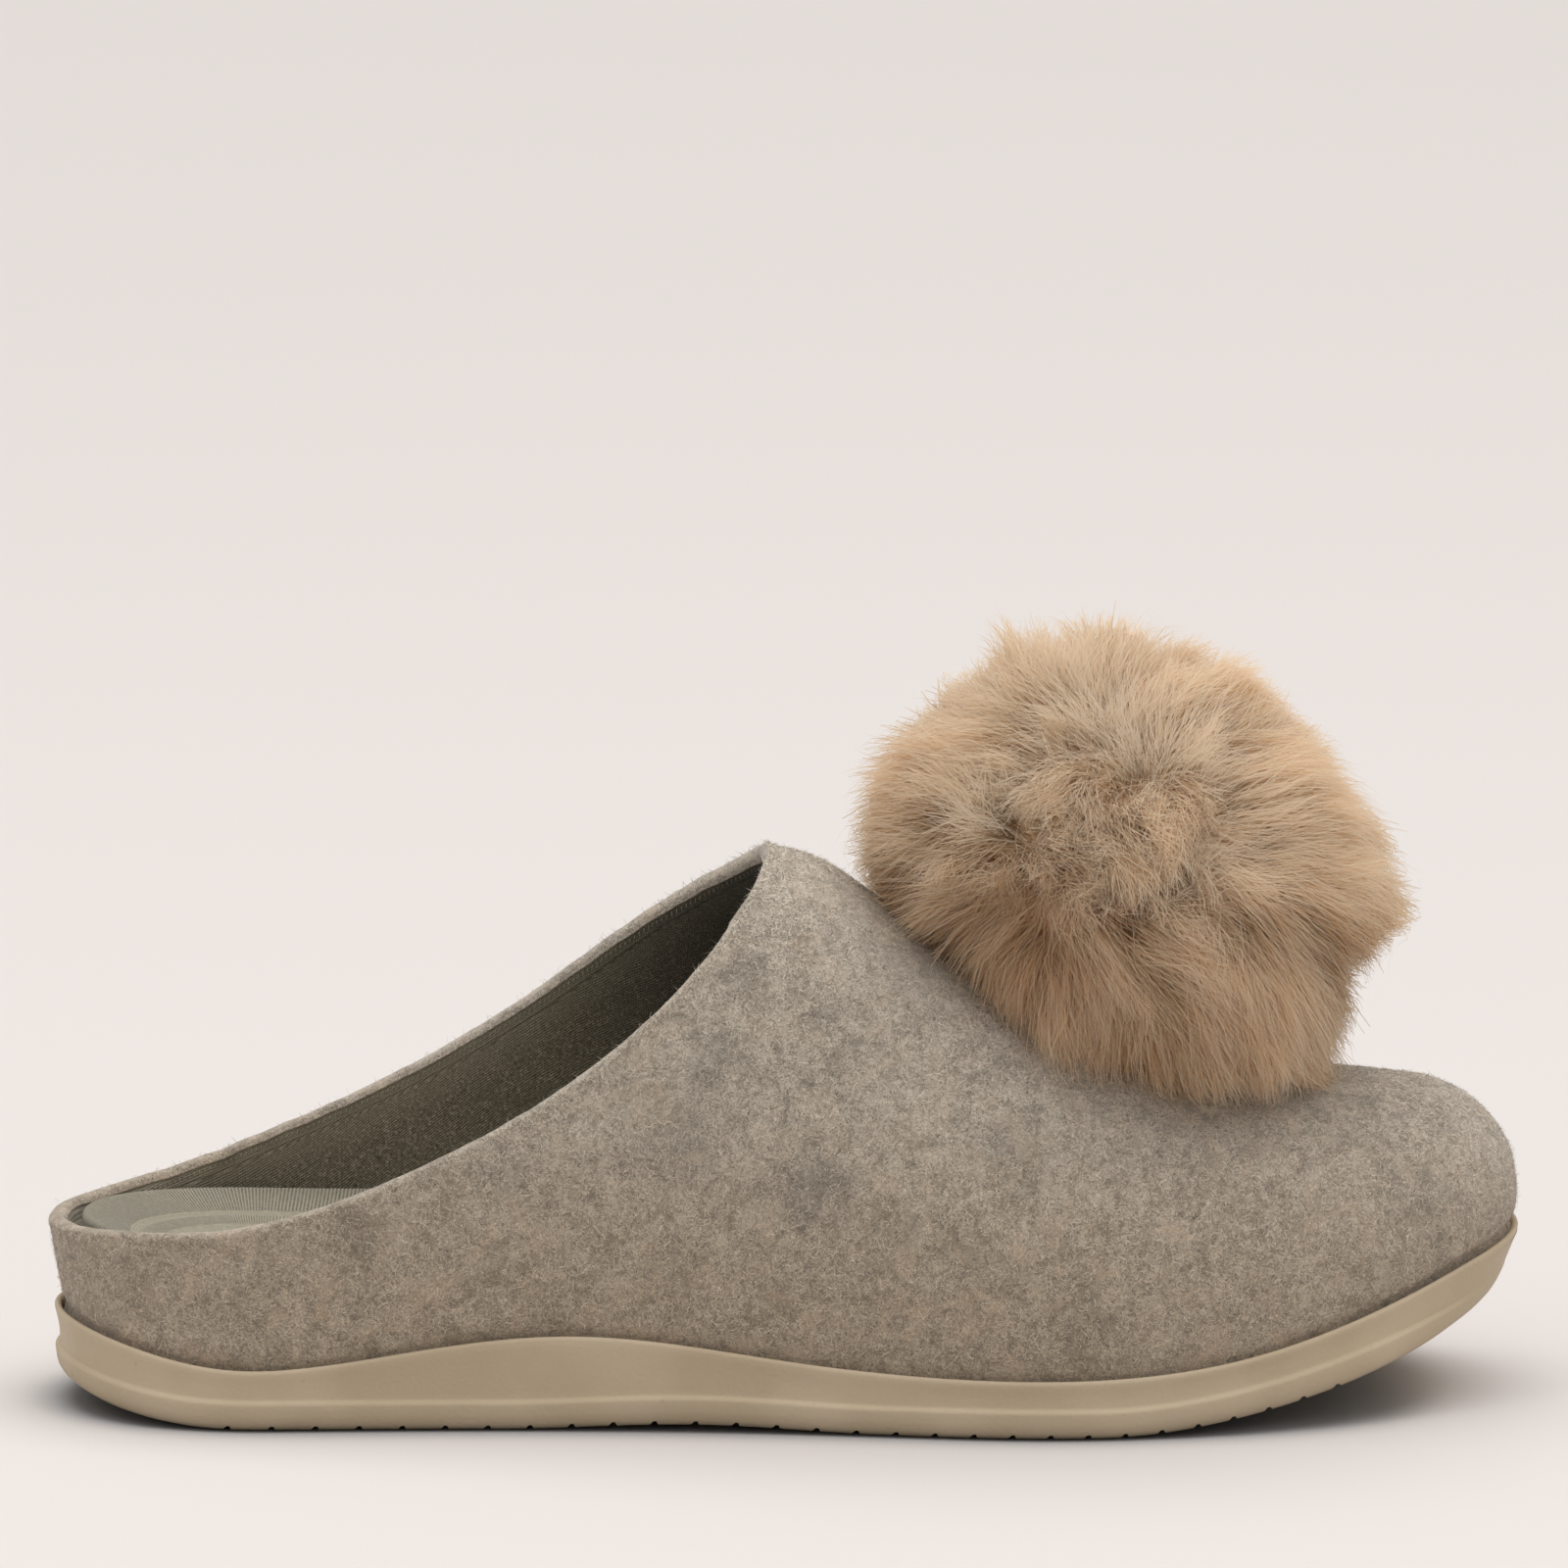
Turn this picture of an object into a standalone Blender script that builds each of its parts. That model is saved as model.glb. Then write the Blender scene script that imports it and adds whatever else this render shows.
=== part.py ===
"""Felt slipper for the right foot, with a fur pompom.

A moulded cup sole carries a thick footbed and a backless upper of one felt wall, which is open at the
collar and underneath. X runs from heel to toe, +Y is the medial side, and Z is up from the floor, in metres.
"""

import math

import bmesh
import bpy
import numpy as np
from mathutils import Matrix, Vector

# Plan of the sole
SOLE_LENGTH = 0.258
HEEL_WIDTH = 0.067
WAIST_WIDTH = 0.068
BALL_WIDTH = 0.094
TOE_SWING = 0.005  # the toe tip lies this far to the medial side of the heel's middle

# Side of the sole
TOE_SPRING = 0.0200
HEEL_LIFT = 0.0050
ARCH_LIFT = 0.0010
EDGE_RADIUS = 0.0030
BAND_HEIGHT = 0.0051
BAND_STEP = 0.0006
LIP_WIDTH = 0.0012
LIP_DEPTH = 0.0025
FLOOR_THICKNESS = 0.0060
SIDE_LEAN = 0.0002
TOE_RAKE = 0.50  # run of the side for each unit it drops, at the toe tip
HEEL_RAKE = 0.12

# Height of the lip's top over the floor
HEEL_LIP = 0.0170
SEAT_LIP = 0.0107
ARCH_LIP_LATERAL = 0.0165
ARCH_LIP_MEDIAL = 0.0185
BALL_LIP = 0.0102
TOE_LIP = 0.0293

# Tread
GROOVE_WIDTH = 0.0016
GROOVE_DEPTH = 0.0010
PITCH_HEEL = 0.0076
PITCH_TOE = 0.0060
TREAD_START = 0.031
TREAD_END = 0.226

# Upper
FELT_WALL = 0.0030
THROAT_REACH = 0.1265  # from the heel to the front of the collar
INSTEP_HEIGHT = 0.0975
TOE_HEIGHT = 0.0560
TOE_CAP_LENGTH = 0.026  # from the toe tip back to the end of the crest
THROAT_LEAN = 0.014  # how far behind its foot the section at the collar's front meets the crest
WALL_BULGE = 0.0014
HEEL_FLARE = 0.0026
HEEL_RIM = 0.0320
FIT_GAP = 0.0003

# Footbed
FOOTBED_GAP = 0.0005
FOOTBED_ROLL = 0.0030
HEEL_SEAT = 0.0255
HEEL_CUP = 0.0050
BALL_BED = 0.0140

# Pompom
POMPOM_RADIUS = 0.0472
POMPOM_SQUASH = 0.94  # height over width
POMPOM_CORE = 0.76  # share of the radius
POMPOM_REACH = 0.1880
POMPOM_HEIGHT = 0.0895  # the ball's middle over the floor
POMPOM_WHORL = (-0.20, -0.97, 0.05)  # where the fur parts, seen from the ball's middle
LOCK_COUNT = 76
LOCK_RADIUS = 0.0098
LOCK_SIDES = 5
LOCK_SWEEP = 0.75

# Mesh density
COLLAR_STEPS = 20
VAMP_STEPS = 20
WALL_ROWS = 11

THROAT = THROAT_REACH / SOLE_LENGTH

# share of length, lateral half width, medial half width, before the ends are rounded
SOLE_OUTLINE = (
    (0.00, 0.500 * HEEL_WIDTH, 0.500 * HEEL_WIDTH),
    (0.14, 0.500 * HEEL_WIDTH, 0.500 * HEEL_WIDTH),
    (0.38, 0.515 * WAIST_WIDTH, 0.435 * WAIST_WIDTH),
    (0.52, 0.420 * BALL_WIDTH, 0.385 * BALL_WIDTH),
    (0.66, 0.490 * BALL_WIDTH, 0.485 * BALL_WIDTH),
    (0.80, 0.500 * BALL_WIDTH, 0.490 * BALL_WIDTH),
    (1.00, 0.480 * BALL_WIDTH, 0.440 * BALL_WIDTH),
)
HEEL_ROUNDS = {"share": 0.155, "power": 2.12}
TOE_ROUNDS = {-1: {"share": 0.400, "power": 2.30}, 1: {"share": 0.300, "power": 2.35}}

# share of length, lip height on the lateral side, lip height on the medial side
LIP_LINE = (
    (0.00, HEEL_LIP, HEEL_LIP),
    (0.05, 0.50 * HEEL_LIP + 0.50 * SEAT_LIP, 0.50 * HEEL_LIP + 0.50 * SEAT_LIP),
    (0.12, SEAT_LIP, SEAT_LIP),
    (0.24, 0.50 * ARCH_LIP_LATERAL + 0.50 * SEAT_LIP, 0.50 * ARCH_LIP_MEDIAL + 0.50 * SEAT_LIP),
    (0.35, ARCH_LIP_LATERAL, ARCH_LIP_MEDIAL),
    (0.50, 0.35 * ARCH_LIP_LATERAL + 0.65 * BALL_LIP, 0.40 * ARCH_LIP_MEDIAL + 0.60 * BALL_LIP),
    (0.66, BALL_LIP, BALL_LIP),
    (0.80, 0.85 * BALL_LIP + 0.15 * TOE_LIP, 0.85 * BALL_LIP + 0.15 * TOE_LIP),
    (0.90, 0.47 * BALL_LIP + 0.53 * TOE_LIP, 0.47 * BALL_LIP + 0.53 * TOE_LIP),
    (0.96, 0.18 * BALL_LIP + 0.82 * TOE_LIP, 0.18 * BALL_LIP + 0.82 * TOE_LIP),
    (1.00, TOE_LIP, TOE_LIP),
)

# share of length, height of the crest over the floor, roundness of the section.
# Behind the throat the crest is only a guide that the side walls lean towards.
CREST_LINE = (
    (0.00, 1.20 * INSTEP_HEIGHT, 3.2),
    (0.25, 1.10 * INSTEP_HEIGHT, 2.7),
    (THROAT, INSTEP_HEIGHT, 2.15),
    (THROAT + 0.025, 0.972 * INSTEP_HEIGHT, 2.12),
    (THROAT + 0.050, 0.926 * INSTEP_HEIGHT, 2.10),
    (0.62, 0.56 * TOE_HEIGHT + 0.474 * INSTEP_HEIGHT, 2.10),
    (0.72, 0.85 * TOE_HEIGHT + 0.180 * INSTEP_HEIGHT, 2.18),
    (0.82, 1.020 * TOE_HEIGHT, 2.30),
    (0.90, 0.98 * TOE_HEIGHT, 2.40),
    (1.00, 0.94 * TOE_HEIGHT, 2.35),
)

# share of the way round the collar from the heel to the throat, rim height on the lateral side,
# rim height on the medial side
RIM_LINE = (
    (0.00, HEEL_RIM, HEEL_RIM),
    (0.20, 1.045 * HEEL_RIM, 1.05 * HEEL_RIM),
    (0.30, 1.070 * HEEL_RIM, 1.15 * HEEL_RIM),
    (0.40, 0.386 * INSTEP_HEIGHT, 0.447 * INSTEP_HEIGHT),
    (0.50, 0.466 * INSTEP_HEIGHT, 0.549 * INSTEP_HEIGHT),
    (0.60, 0.577 * INSTEP_HEIGHT, 0.681 * INSTEP_HEIGHT),
    (0.70, 0.717 * INSTEP_HEIGHT, 0.823 * INSTEP_HEIGHT),
    (0.80, 0.864 * INSTEP_HEIGHT, 0.920 * INSTEP_HEIGHT),
    (0.90, 0.970 * INSTEP_HEIGHT, 0.975 * INSTEP_HEIGHT),
    (1.00, INSTEP_HEIGHT, INSTEP_HEIGHT),
)

# share of length, footbed's middle height, rise from there to its lateral edge, rise to its medial edge
FOOTBED_LINE = (
    (0.00, 1.06 * HEEL_SEAT, HEEL_CUP, HEEL_CUP),
    (0.16, HEEL_SEAT, HEEL_CUP, HEEL_CUP),
    (0.38, 0.92 * HEEL_SEAT, 0.70 * HEEL_CUP, 1.10 * HEEL_CUP),
    (0.66, BALL_BED, 0.30 * HEEL_CUP, 0.30 * HEEL_CUP),
    (0.82, 0.75 * BALL_BED + 0.25 * TOE_LIP, 0.20 * HEEL_CUP, 0.20 * HEEL_CUP),
    (1.00, 1.15 * TOE_LIP, 0.10 * HEEL_CUP, 0.10 * HEEL_CUP),
)


def spline(table, column, share):
    """Natural cubic curve through one column of a table, whose first column is the share."""
    knots = np.array([row[0] for row in table])
    values = np.array([row[column] for row in table])
    steps, slopes = np.diff(knots), np.diff(values) / np.diff(knots)
    count = len(knots)
    system, right = np.eye(count), np.zeros(count)
    for i in range(1, count - 1):
        system[i, i - 1 : i + 2] = steps[i - 1], 2 * (steps[i - 1] + steps[i]), steps[i]
        right[i] = 6 * (slopes[i] - slopes[i - 1])
    bends = np.linalg.solve(system, right)
    share = np.clip(share, knots[0], knots[-1])
    i = np.clip(np.searchsorted(knots, share) - 1, 0, count - 2)
    past, left = share - knots[i], knots[i + 1] - share
    curve = (bends[i] * left**3 + bends[i + 1] * past**3) / (6 * steps[i])
    curve += (values[i] / steps[i] - bends[i] * steps[i] / 6) * left
    return curve + (values[i + 1] / steps[i] - bends[i + 1] * steps[i] / 6) * past


def mirrored(table):
    """A table carried on past both ends by its mirror image, so that its curve runs level there."""
    before = [(2 * table[0][0] - row[0], *row[1:]) for row in table[2:0:-1]]
    after = [(2 * table[-1][0] - row[0], *row[1:]) for row in table[-2:-4:-1]]
    return (*before, *table, *after)


def quarter(share, power):
    """A superellipse's fall from 1 at share 0 to 0 at share 1."""
    return (1 - np.clip(share, 0, 1) ** power) ** (1 / power)


def collar_shares():
    """How far round the collar each of its columns is, and the share of length where it stands."""
    way = np.arange(COLLAR_STEPS + 1) / COLLAR_STEPS
    return way, THROAT * np.sin(way * np.pi / 2) ** 2 + THROAT_LEAN / SOLE_LENGTH * way**4


def vamp_shares():
    """How far along the vamp each of its columns is, and the share of length where it stands."""
    way = np.arange(VAMP_STEPS + 1) / VAMP_STEPS
    start = THROAT + THROAT_LEAN / SOLE_LENGTH
    return way, start + (1 - start) * np.sin(way * np.pi / 2) ** 1.25


def round_trip(collar, vamp):
    """The collar's and the vamp's values for each column: heel, lateral side, toe, medial side."""
    half = np.append(collar[:-1], vamp)
    return np.append(half, half[-2:0:-1])


COLLAR_WAY, COLLAR_SHARES = collar_shares()
VAMP_WAY, VAMP_SHARES = vamp_shares()
SHARES = round_trip(COLLAR_SHARES, VAMP_SHARES)
WAY_ROUND = round_trip(COLLAR_WAY, np.ones(VAMP_STEPS + 1))
LEAN = round_trip(THROAT_LEAN * COLLAR_WAY**4, THROAT_LEAN * (1 - VAMP_WAY**2))
TOE_CAP = round_trip(0 * COLLAR_WAY, TOE_CAP_LENGTH * VAMP_WAY**2)
HALF_COUNT = COLLAR_STEPS + VAMP_STEPS + 1
SIDES = np.append(-np.ones(HALF_COUNT), np.ones(HALF_COUNT - 2))


def both_sides(table, shares, first_column=1):
    """A table's lateral and medial columns, each read for the columns of its side."""
    lateral = spline(table, first_column, shares)
    medial = spline(table, first_column + 1, shares)
    ends = (SHARES == 0) | (SHARES == 1)
    return np.where(ends, (lateral + medial) / 2, np.where(SIDES < 0, lateral, medial))


def middle(x):
    """Y of the middle line, which swings towards the big toe."""
    return TOE_SWING * np.clip((x / SOLE_LENGTH - 0.5) / 0.5, 0, 1) ** 2


def plan_ring():
    """The sole's outline, one point for each column."""
    toe = np.array([TOE_ROUNDS[int(side)]["share"] for side in SIDES])
    power = np.array([TOE_ROUNDS[int(side)]["power"] for side in SIDES])
    half = both_sides(SOLE_OUTLINE, SHARES)
    half = half * quarter(1 - SHARES / HEEL_ROUNDS["share"], HEEL_ROUNDS["power"])
    half = half * quarter((SHARES - 1 + toe) / toe, power)
    x = SHARES * SOLE_LENGTH
    return np.stack([x, middle(x) + SIDES * half], axis=1)


def inset(ring, distance):
    """A plan ring moved inwards by a distance, along its own normals."""
    along = np.roll(ring, -1, axis=0) - np.roll(ring, 1, axis=0)
    along /= np.linalg.norm(along, axis=1, keepdims=True)
    return ring + np.stack([-along[:, 1], along[:, 0]], axis=1) * np.reshape(distance, (-1, 1))


def spine_ring(heel_end, toe_end):
    """A plan ring shrunk to the middle line, which stops short of the outline at both ends."""
    heel = np.clip(1 - SHARES / 0.5, 0, 1) ** 2 * heel_end
    toe = np.clip(SHARES / 0.5 - 1, 0, 1) ** 2 * toe_end
    x = SHARES * SOLE_LENGTH + heel - toe
    return np.stack([x, middle(x)], axis=1)


def crest_ring():
    """The crest of the upper, where the two sides' columns meet. Over the collar it is only a guide."""
    x = SHARES * SOLE_LENGTH - LEAN - TOE_CAP
    return np.column_stack([x, middle(x), spline(CREST_LINE, 1, x / SOLE_LENGTH)])


def raised(ring, height):
    """Plan points with their heights."""
    return np.column_stack([ring, np.broadcast_to(height, len(ring))])


def bottom(x):
    """Height of the sole's underside: flat under heel and ball, lifted at both ends and at the arch."""
    share = x / SOLE_LENGTH
    heel = HEEL_LIFT * np.clip(1 - share / 0.13, 0, None) ** 2
    toe = TOE_SPRING * np.clip((share - 0.70) / 0.30, 0, None) ** 1.8
    arch = ARCH_LIFT * np.sin(np.pi * np.clip((share - 0.30) / 0.26, 0, 1)) ** 2
    return heel + toe + arch


def lip():
    return both_sides(LIP_LINE, SHARES)


def deck_edge():
    """Height of the sole's inside, where the upper stands on it."""
    return lip() - LIP_DEPTH


def deck_middle(x):
    return bottom(x) + FLOOR_THICKNESS


def side_inset():
    """How far the sole's side lies inside its widest line, just under the lip."""
    return BAND_STEP + SIDE_LEAN


def wall_inset():
    """How far the felt's outer face lies inside the sole's outline at its foot."""
    return side_inset() + LIP_WIDTH + FIT_GAP


def outward(ring):
    return ring - inset(ring, 1.0)


def seat_row():
    """The foot of the felt's outer face, down on the sole's deck."""
    return raised(inset(plan_ring(), wall_inset()), deck_edge() + FIT_GAP)


def upper_row(turn, grow=0.0):
    """One row of the felt's outer face. turn runs from 0 at the sole to 1 at the crest."""
    foot = raised(inset(plan_ring(), wall_inset() - grow), lip() + FIT_GAP)
    top = crest_ring() + (0, 0, grow)
    power = spline(CREST_LINE, 2, top[:, 0] / SOLE_LENGTH)
    out = np.cos(turn * np.pi / 2) ** (2 / power)
    up = np.sin(turn * np.pi / 2) ** (2 / power)
    row = top + (foot - top) * np.column_stack([out, out, 1 - up])
    row[:, 0] += LEAN * (out**2 - out)
    height = np.clip((row[:, 2] - foot[:, 2]) / (HEEL_RIM - HEEL_LIP), 0, 1)
    flare = HEEL_FLARE * np.clip(1 - SHARES / 0.12, 0, 1) ** 2 * height
    bulge = WALL_BULGE * np.sin(np.pi * np.clip(up, 0, 1) ** 0.7) * np.clip(SHARES / 0.12, 0, 1)
    row[:, :2] += outward(foot[:, :2]) * (flare + bulge)[:, None]
    return row


def rim_turn():
    """How far up its section each column is cut by the collar: 1 from the throat to the toe."""
    foot, crest = lip() + FIT_GAP, crest_ring()
    up = np.clip((both_sides(mirrored(RIM_LINE), WAY_ROUND) - foot) / (crest[:, 2] - foot), 0, 1)
    turn = np.arcsin(up ** (spline(CREST_LINE, 2, crest[:, 0] / SOLE_LENGTH) / 2)) * 2 / np.pi
    return np.where(WAY_ROUND < 1, turn, 1.0)


def loft(name, rings):
    """An object of quads between rings of equal length. Points that coincide become one."""
    count = len(rings[0])
    points = np.concatenate(rings)
    faces = [
        (base + i, base + (i + 1) % count, base + count + (i + 1) % count, base + count + i)
        for base in range(0, (len(rings) - 1) * count, count)
        for i in range(count)
    ]
    mesh = bpy.data.meshes.new(name)
    mesh.from_pydata(points.tolist(), [], faces)
    work = bmesh.new()
    work.from_mesh(mesh)
    bmesh.ops.remove_doubles(work, verts=work.verts, dist=1e-6)
    bmesh.ops.recalc_face_normals(work, faces=work.faces)
    work.to_mesh(mesh)
    work.free()
    return bpy.data.objects.new(name, mesh)


def material(name, colour, roughness):
    made = bpy.data.materials.new(name)
    made.use_nodes = True
    shader = made.node_tree.nodes["Principled BSDF"]
    shader.inputs["Base Color"].default_value = (*colour, 1.0)
    shader.inputs["Roughness"].default_value = roughness
    return made


def boolean(obj, cutter, operation="DIFFERENCE"):
    modifier = obj.modifiers.new(operation.title(), "BOOLEAN")
    modifier.operation = operation
    modifier.object = cutter


def as_cutter(obj):
    obj.hide_render = True
    obj.display_type = "WIRE"
    return obj


def sole_ring(distance, height):
    """A ring of the sole's side, which leans in under the toe and the heel."""
    lean = TOE_RAKE * np.clip((SHARES - 0.86) / 0.14, 0, 1) ** 1.5
    lean -= HEEL_RAKE * np.clip(1 - SHARES / 0.10, 0, 1)
    ring = raised(inset(plan_ring(), distance), height)
    ring[:, 0] -= lean * (lip() - height)
    return ring


def side_foot():
    """Height of the underside where each column of the leaning side meets it."""
    ground = bottom(SHARES * SOLE_LENGTH)
    for _ in range(6):
        ground = bottom(sole_ring(0.0, ground)[:, 0])
    return ground


def sole_rings():
    """The sole's skin, from the middle of its underside over the lip to the middle of its deck."""
    wall, top, ground = side_inset(), lip(), side_foot()
    below = spine_ring(0.030, 0.042)
    half_edge = EDGE_RADIUS * (1 - math.sqrt(0.5))
    under = sole_ring(EDGE_RADIUS, ground)
    under[:, 2] = bottom(under[:, 0])
    rings = [
        raised(below, bottom(below[:, 0])),
        under,
        sole_ring(half_edge, ground + half_edge),
        sole_ring(0.0, ground + EDGE_RADIUS),
        sole_ring(0.0, ground + BAND_HEIGHT),
        sole_ring(BAND_STEP, ground + BAND_HEIGHT + BAND_STEP),
        sole_ring(wall, top - 0.6 * LIP_WIDTH),
        sole_ring(wall + 0.4 * LIP_WIDTH, top),
        sole_ring(wall + LIP_WIDTH, top - 0.3 * LIP_WIDTH),
        raised(inset(plan_ring(), wall + LIP_WIDTH), top - LIP_DEPTH),
    ]
    edge = rings[-1][:, :2]
    for share in (0.5, 1.0):
        ring = edge + (below - edge) * share
        floor = deck_middle(ring[:, 0])
        rings.append(raised(ring, floor + (deck_edge() - floor) * (1 - share) ** 2))
    return rings


def groove_places():
    """Distance from the heel of each groove across the tread. The pitch shrinks towards the toe."""
    x, places = TREAD_START, []
    while x < TREAD_END:
        places.append(x)
        x += PITCH_HEEL + (PITCH_TOE - PITCH_HEEL) * (x - TREAD_START) / (TREAD_END - TREAD_START)
    return places


def tread_cutter():
    """Bars across the underside, each tilted with it, as one mesh."""
    mesh = bpy.data.meshes.new("tread_bars")
    work = bmesh.new()
    for x in groove_places():
        step = 0.5 * GROOVE_WIDTH
        tilt = math.atan2(float(bottom(x + step) - bottom(x - step)), 2 * step)
        made = bmesh.ops.create_cube(work, size=1.0)["verts"]
        bmesh.ops.scale(work, vec=(GROOVE_WIDTH, 1.5 * BALL_WIDTH, 2 * GROOVE_DEPTH), verts=made)
        turn = Matrix.Rotation(-tilt, 4, "Y")
        bmesh.ops.transform(work, matrix=Matrix.Translation((x, 0, float(bottom(x)))) @ turn, verts=made)
    work.to_mesh(mesh)
    work.free()
    return as_cutter(bpy.data.objects.new("tread_bars", mesh))


def make_sole(cutters):
    sole = loft("sole", sole_rings())
    bars = tread_cutter()
    cutters.objects.link(bars)
    boolean(sole, bars)
    sole.data.materials.append(material("sole_tan", (0.40, 0.32, 0.215), 0.62))
    return sole


def make_upper():
    """The felt wall: its outer face from the sole to the rim or the crest, made solid inwards."""
    turns = rim_turn()
    rows = [upper_row(turns * row / WALL_ROWS) for row in range(WALL_ROWS + 1)]
    upper = loft("upper", [seat_row(), *rows])
    wall = upper.modifiers.new("Felt", "SOLIDIFY")
    wall.thickness = FELT_WALL
    wall.offset = -1.0
    wall.use_even_offset = True
    upper.data.materials.append(material("felt", (0.33, 0.28, 0.225), 0.95))
    return upper


def make_footbed():
    """The footbed fills the upper down to the deck, with a cupped heel and a rolled edge."""
    side = inset(seat_row()[:, :2], FELT_WALL + FOOTBED_GAP)
    spine = spine_ring(0.034, 0.042)
    middle_height = spline(FOOTBED_LINE, 1, SHARES)
    edge_height = middle_height + both_sides(FOOTBED_LINE, SHARES, 2)
    spine_height = spline(FOOTBED_LINE, 1, spine[:, 0] / SOLE_LENGTH)
    rings = []
    for share in (1.0, 0.5):
        ring = side + (spine - side) * share
        floor = deck_middle(ring[:, 0])
        rings.append(raised(ring, floor + (deck_edge() - floor) * (1 - share) ** 2 + FIT_GAP))
    rings.append(raised(side, deck_edge() + 2 * FIT_GAP))
    rings.append(raised(side, edge_height - FOOTBED_ROLL))
    rings.append(raised(inset(side, 0.3 * FOOTBED_ROLL), edge_height - 0.3 * FOOTBED_ROLL))
    rolled = inset(side, FOOTBED_ROLL)
    rings.append(raised(rolled, edge_height))
    for share in (0.35, 0.7, 1.0):
        ring = rolled + (spine - rolled) * share
        rings.append(raised(ring, spine_height + (edge_height - spine_height) * (1 - share) ** 2))
    footbed = loft("footbed", rings)
    footbed.data.materials.append(material("footbed_cover", (0.30, 0.29, 0.235), 0.9))
    return footbed


def lock(work, root, tip, bow, radius):
    """One lock of fur: a tapered horn from root to tip that bows outwards."""
    axis = (tip - root).normalized()
    side = axis.orthogonal().normalized()
    other = axis.cross(side)
    turns = [2 * math.pi * k / LOCK_SIDES for k in range(LOCK_SIDES)]
    spokes = [(side * math.cos(turn) + other * math.sin(turn)) * radius for turn in turns]
    rings = []
    for along, width in ((0.0, 0.8), (0.45, 1.0), (0.78, 0.66)):
        centre = root.lerp(tip, along) + bow * (4 * along * (1 - along))
        rings.append([work.verts.new(centre + spoke * width) for spoke in spokes])
    point = work.verts.new(tip)
    for k in range(LOCK_SIDES):
        after = (k + 1) % LOCK_SIDES
        for lower, upper in zip(rings, rings[1:]):
            work.faces.new((lower[k], lower[after], upper[after], upper[k]))
        work.faces.new((rings[-1][k], rings[-1][after], point))
    work.faces.new(rings[0][::-1])


def on_ball(way, share):
    """A point of the pompom's ellipsoid in one direction, at a share of its full radius."""
    return Vector((way.x, way.y, way.z * POMPOM_SQUASH)) * (POMPOM_RADIUS * share)


def make_pompom(cutters):
    """A ball of locks fused to a core, hollowed underneath where it sits on the vamp."""
    centre = Vector((POMPOM_REACH, float(middle(POMPOM_REACH)), POMPOM_HEIGHT))
    mesh = bpy.data.meshes.new("pompom")
    work = bmesh.new()
    made = bmesh.ops.create_icosphere(work, subdivisions=3, radius=1.0)["verts"]
    for vertex in made:
        vertex.co = centre + on_ball(vertex.co.normalized(), POMPOM_CORE)
    work.to_mesh(mesh)
    work.free()
    pompom = bpy.data.objects.new("pompom", mesh)
    locks_mesh = bpy.data.meshes.new("locks")
    work = bmesh.new()
    golden = math.pi * (3 - math.sqrt(5))
    whorl = Vector(POMPOM_WHORL).normalized()
    for i in range(LOCK_COUNT):
        up = 1 - 2 * (i + 0.5) / LOCK_COUNT
        out = math.sqrt(1 - up * up)
        way = Vector((out * math.cos(golden * i), out * math.sin(golden * i), up))
        if way.z < -0.62:
            continue
        flow = (way * way.dot(whorl) - whorl) * LOCK_SWEEP
        root = centre + on_ball((way - flow * 0.5).normalized(), 0.60 * POMPOM_CORE)
        tip = centre + on_ball((way + flow).normalized(), 1.0)
        lock(work, root, tip, way * (0.05 * POMPOM_RADIUS), LOCK_RADIUS)
    bmesh.ops.recalc_face_normals(work, faces=work.faces)
    work.to_mesh(locks_mesh)
    work.free()
    locks = as_cutter(bpy.data.objects.new("locks", locks_mesh))
    block = as_cutter(loft("vamp_block", vamp_block_rings()))
    for helper in (locks, block):
        cutters.objects.link(helper)
    boolean(pompom, locks, "UNION")
    pompom.modifiers[-1].use_self = True
    boolean(pompom, block)
    pompom.data.materials.append(material("fur", (0.47, 0.33, 0.20), 0.8))
    return pompom


def vamp_block_rings():
    """The space inside the felt's outer face, a fit gap larger, for the pompom to sit on."""
    rows = [upper_row(np.full(len(SHARES), row / WALL_ROWS), FIT_GAP) for row in range(WALL_ROWS + 1)]
    return [raised(crest_ring()[:, :2], 0.5 * TOE_HEIGHT), *rows]


def main():
    for old in list(bpy.data.objects):
        bpy.data.objects.remove(old)
    scene = bpy.context.scene
    parts = bpy.data.collections.new("felt_slipper")
    cutters = bpy.data.collections.new("cutters")
    scene.collection.children.link(parts)
    scene.collection.children.link(cutters)
    cutters.hide_render = True
    made = [make_sole(cutters), make_upper(), make_footbed(), make_pompom(cutters)]
    frame = bpy.data.objects.new("frame", None)
    parts.objects.link(frame)
    for obj in made:
        parts.objects.link(obj)
    for obj in [*made, *cutters.objects]:
        obj.parent = frame
        for polygon in obj.data.polygons:
            polygon.use_smooth = True
    bpy.context.view_layer.update()
    graph = bpy.context.evaluated_depsgraph_get()
    corners = np.array([corner[:] for obj in made for corner in obj.evaluated_get(graph).bound_box])
    low, high = corners.min(axis=0), corners.max(axis=0)
    frame.location = (-(low[0] + high[0]) / 2, -(low[1] + high[1]) / 2, -low[2])


main()
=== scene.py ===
"""Looks of the felt slipper: felt, lining, footbed cover, moulded sole and the fur pompom.

X runs from heel to toe, -Y is the lateral side that the camera sees, and Z is up from the floor, in metres.
"""

import math
from types import SimpleNamespace

import bmesh
import bpy
import numpy as np
from mathutils import Matrix, Vector
from mathutils.bvhtree import BVHTree
from mathutils.kdtree import KDTree


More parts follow.
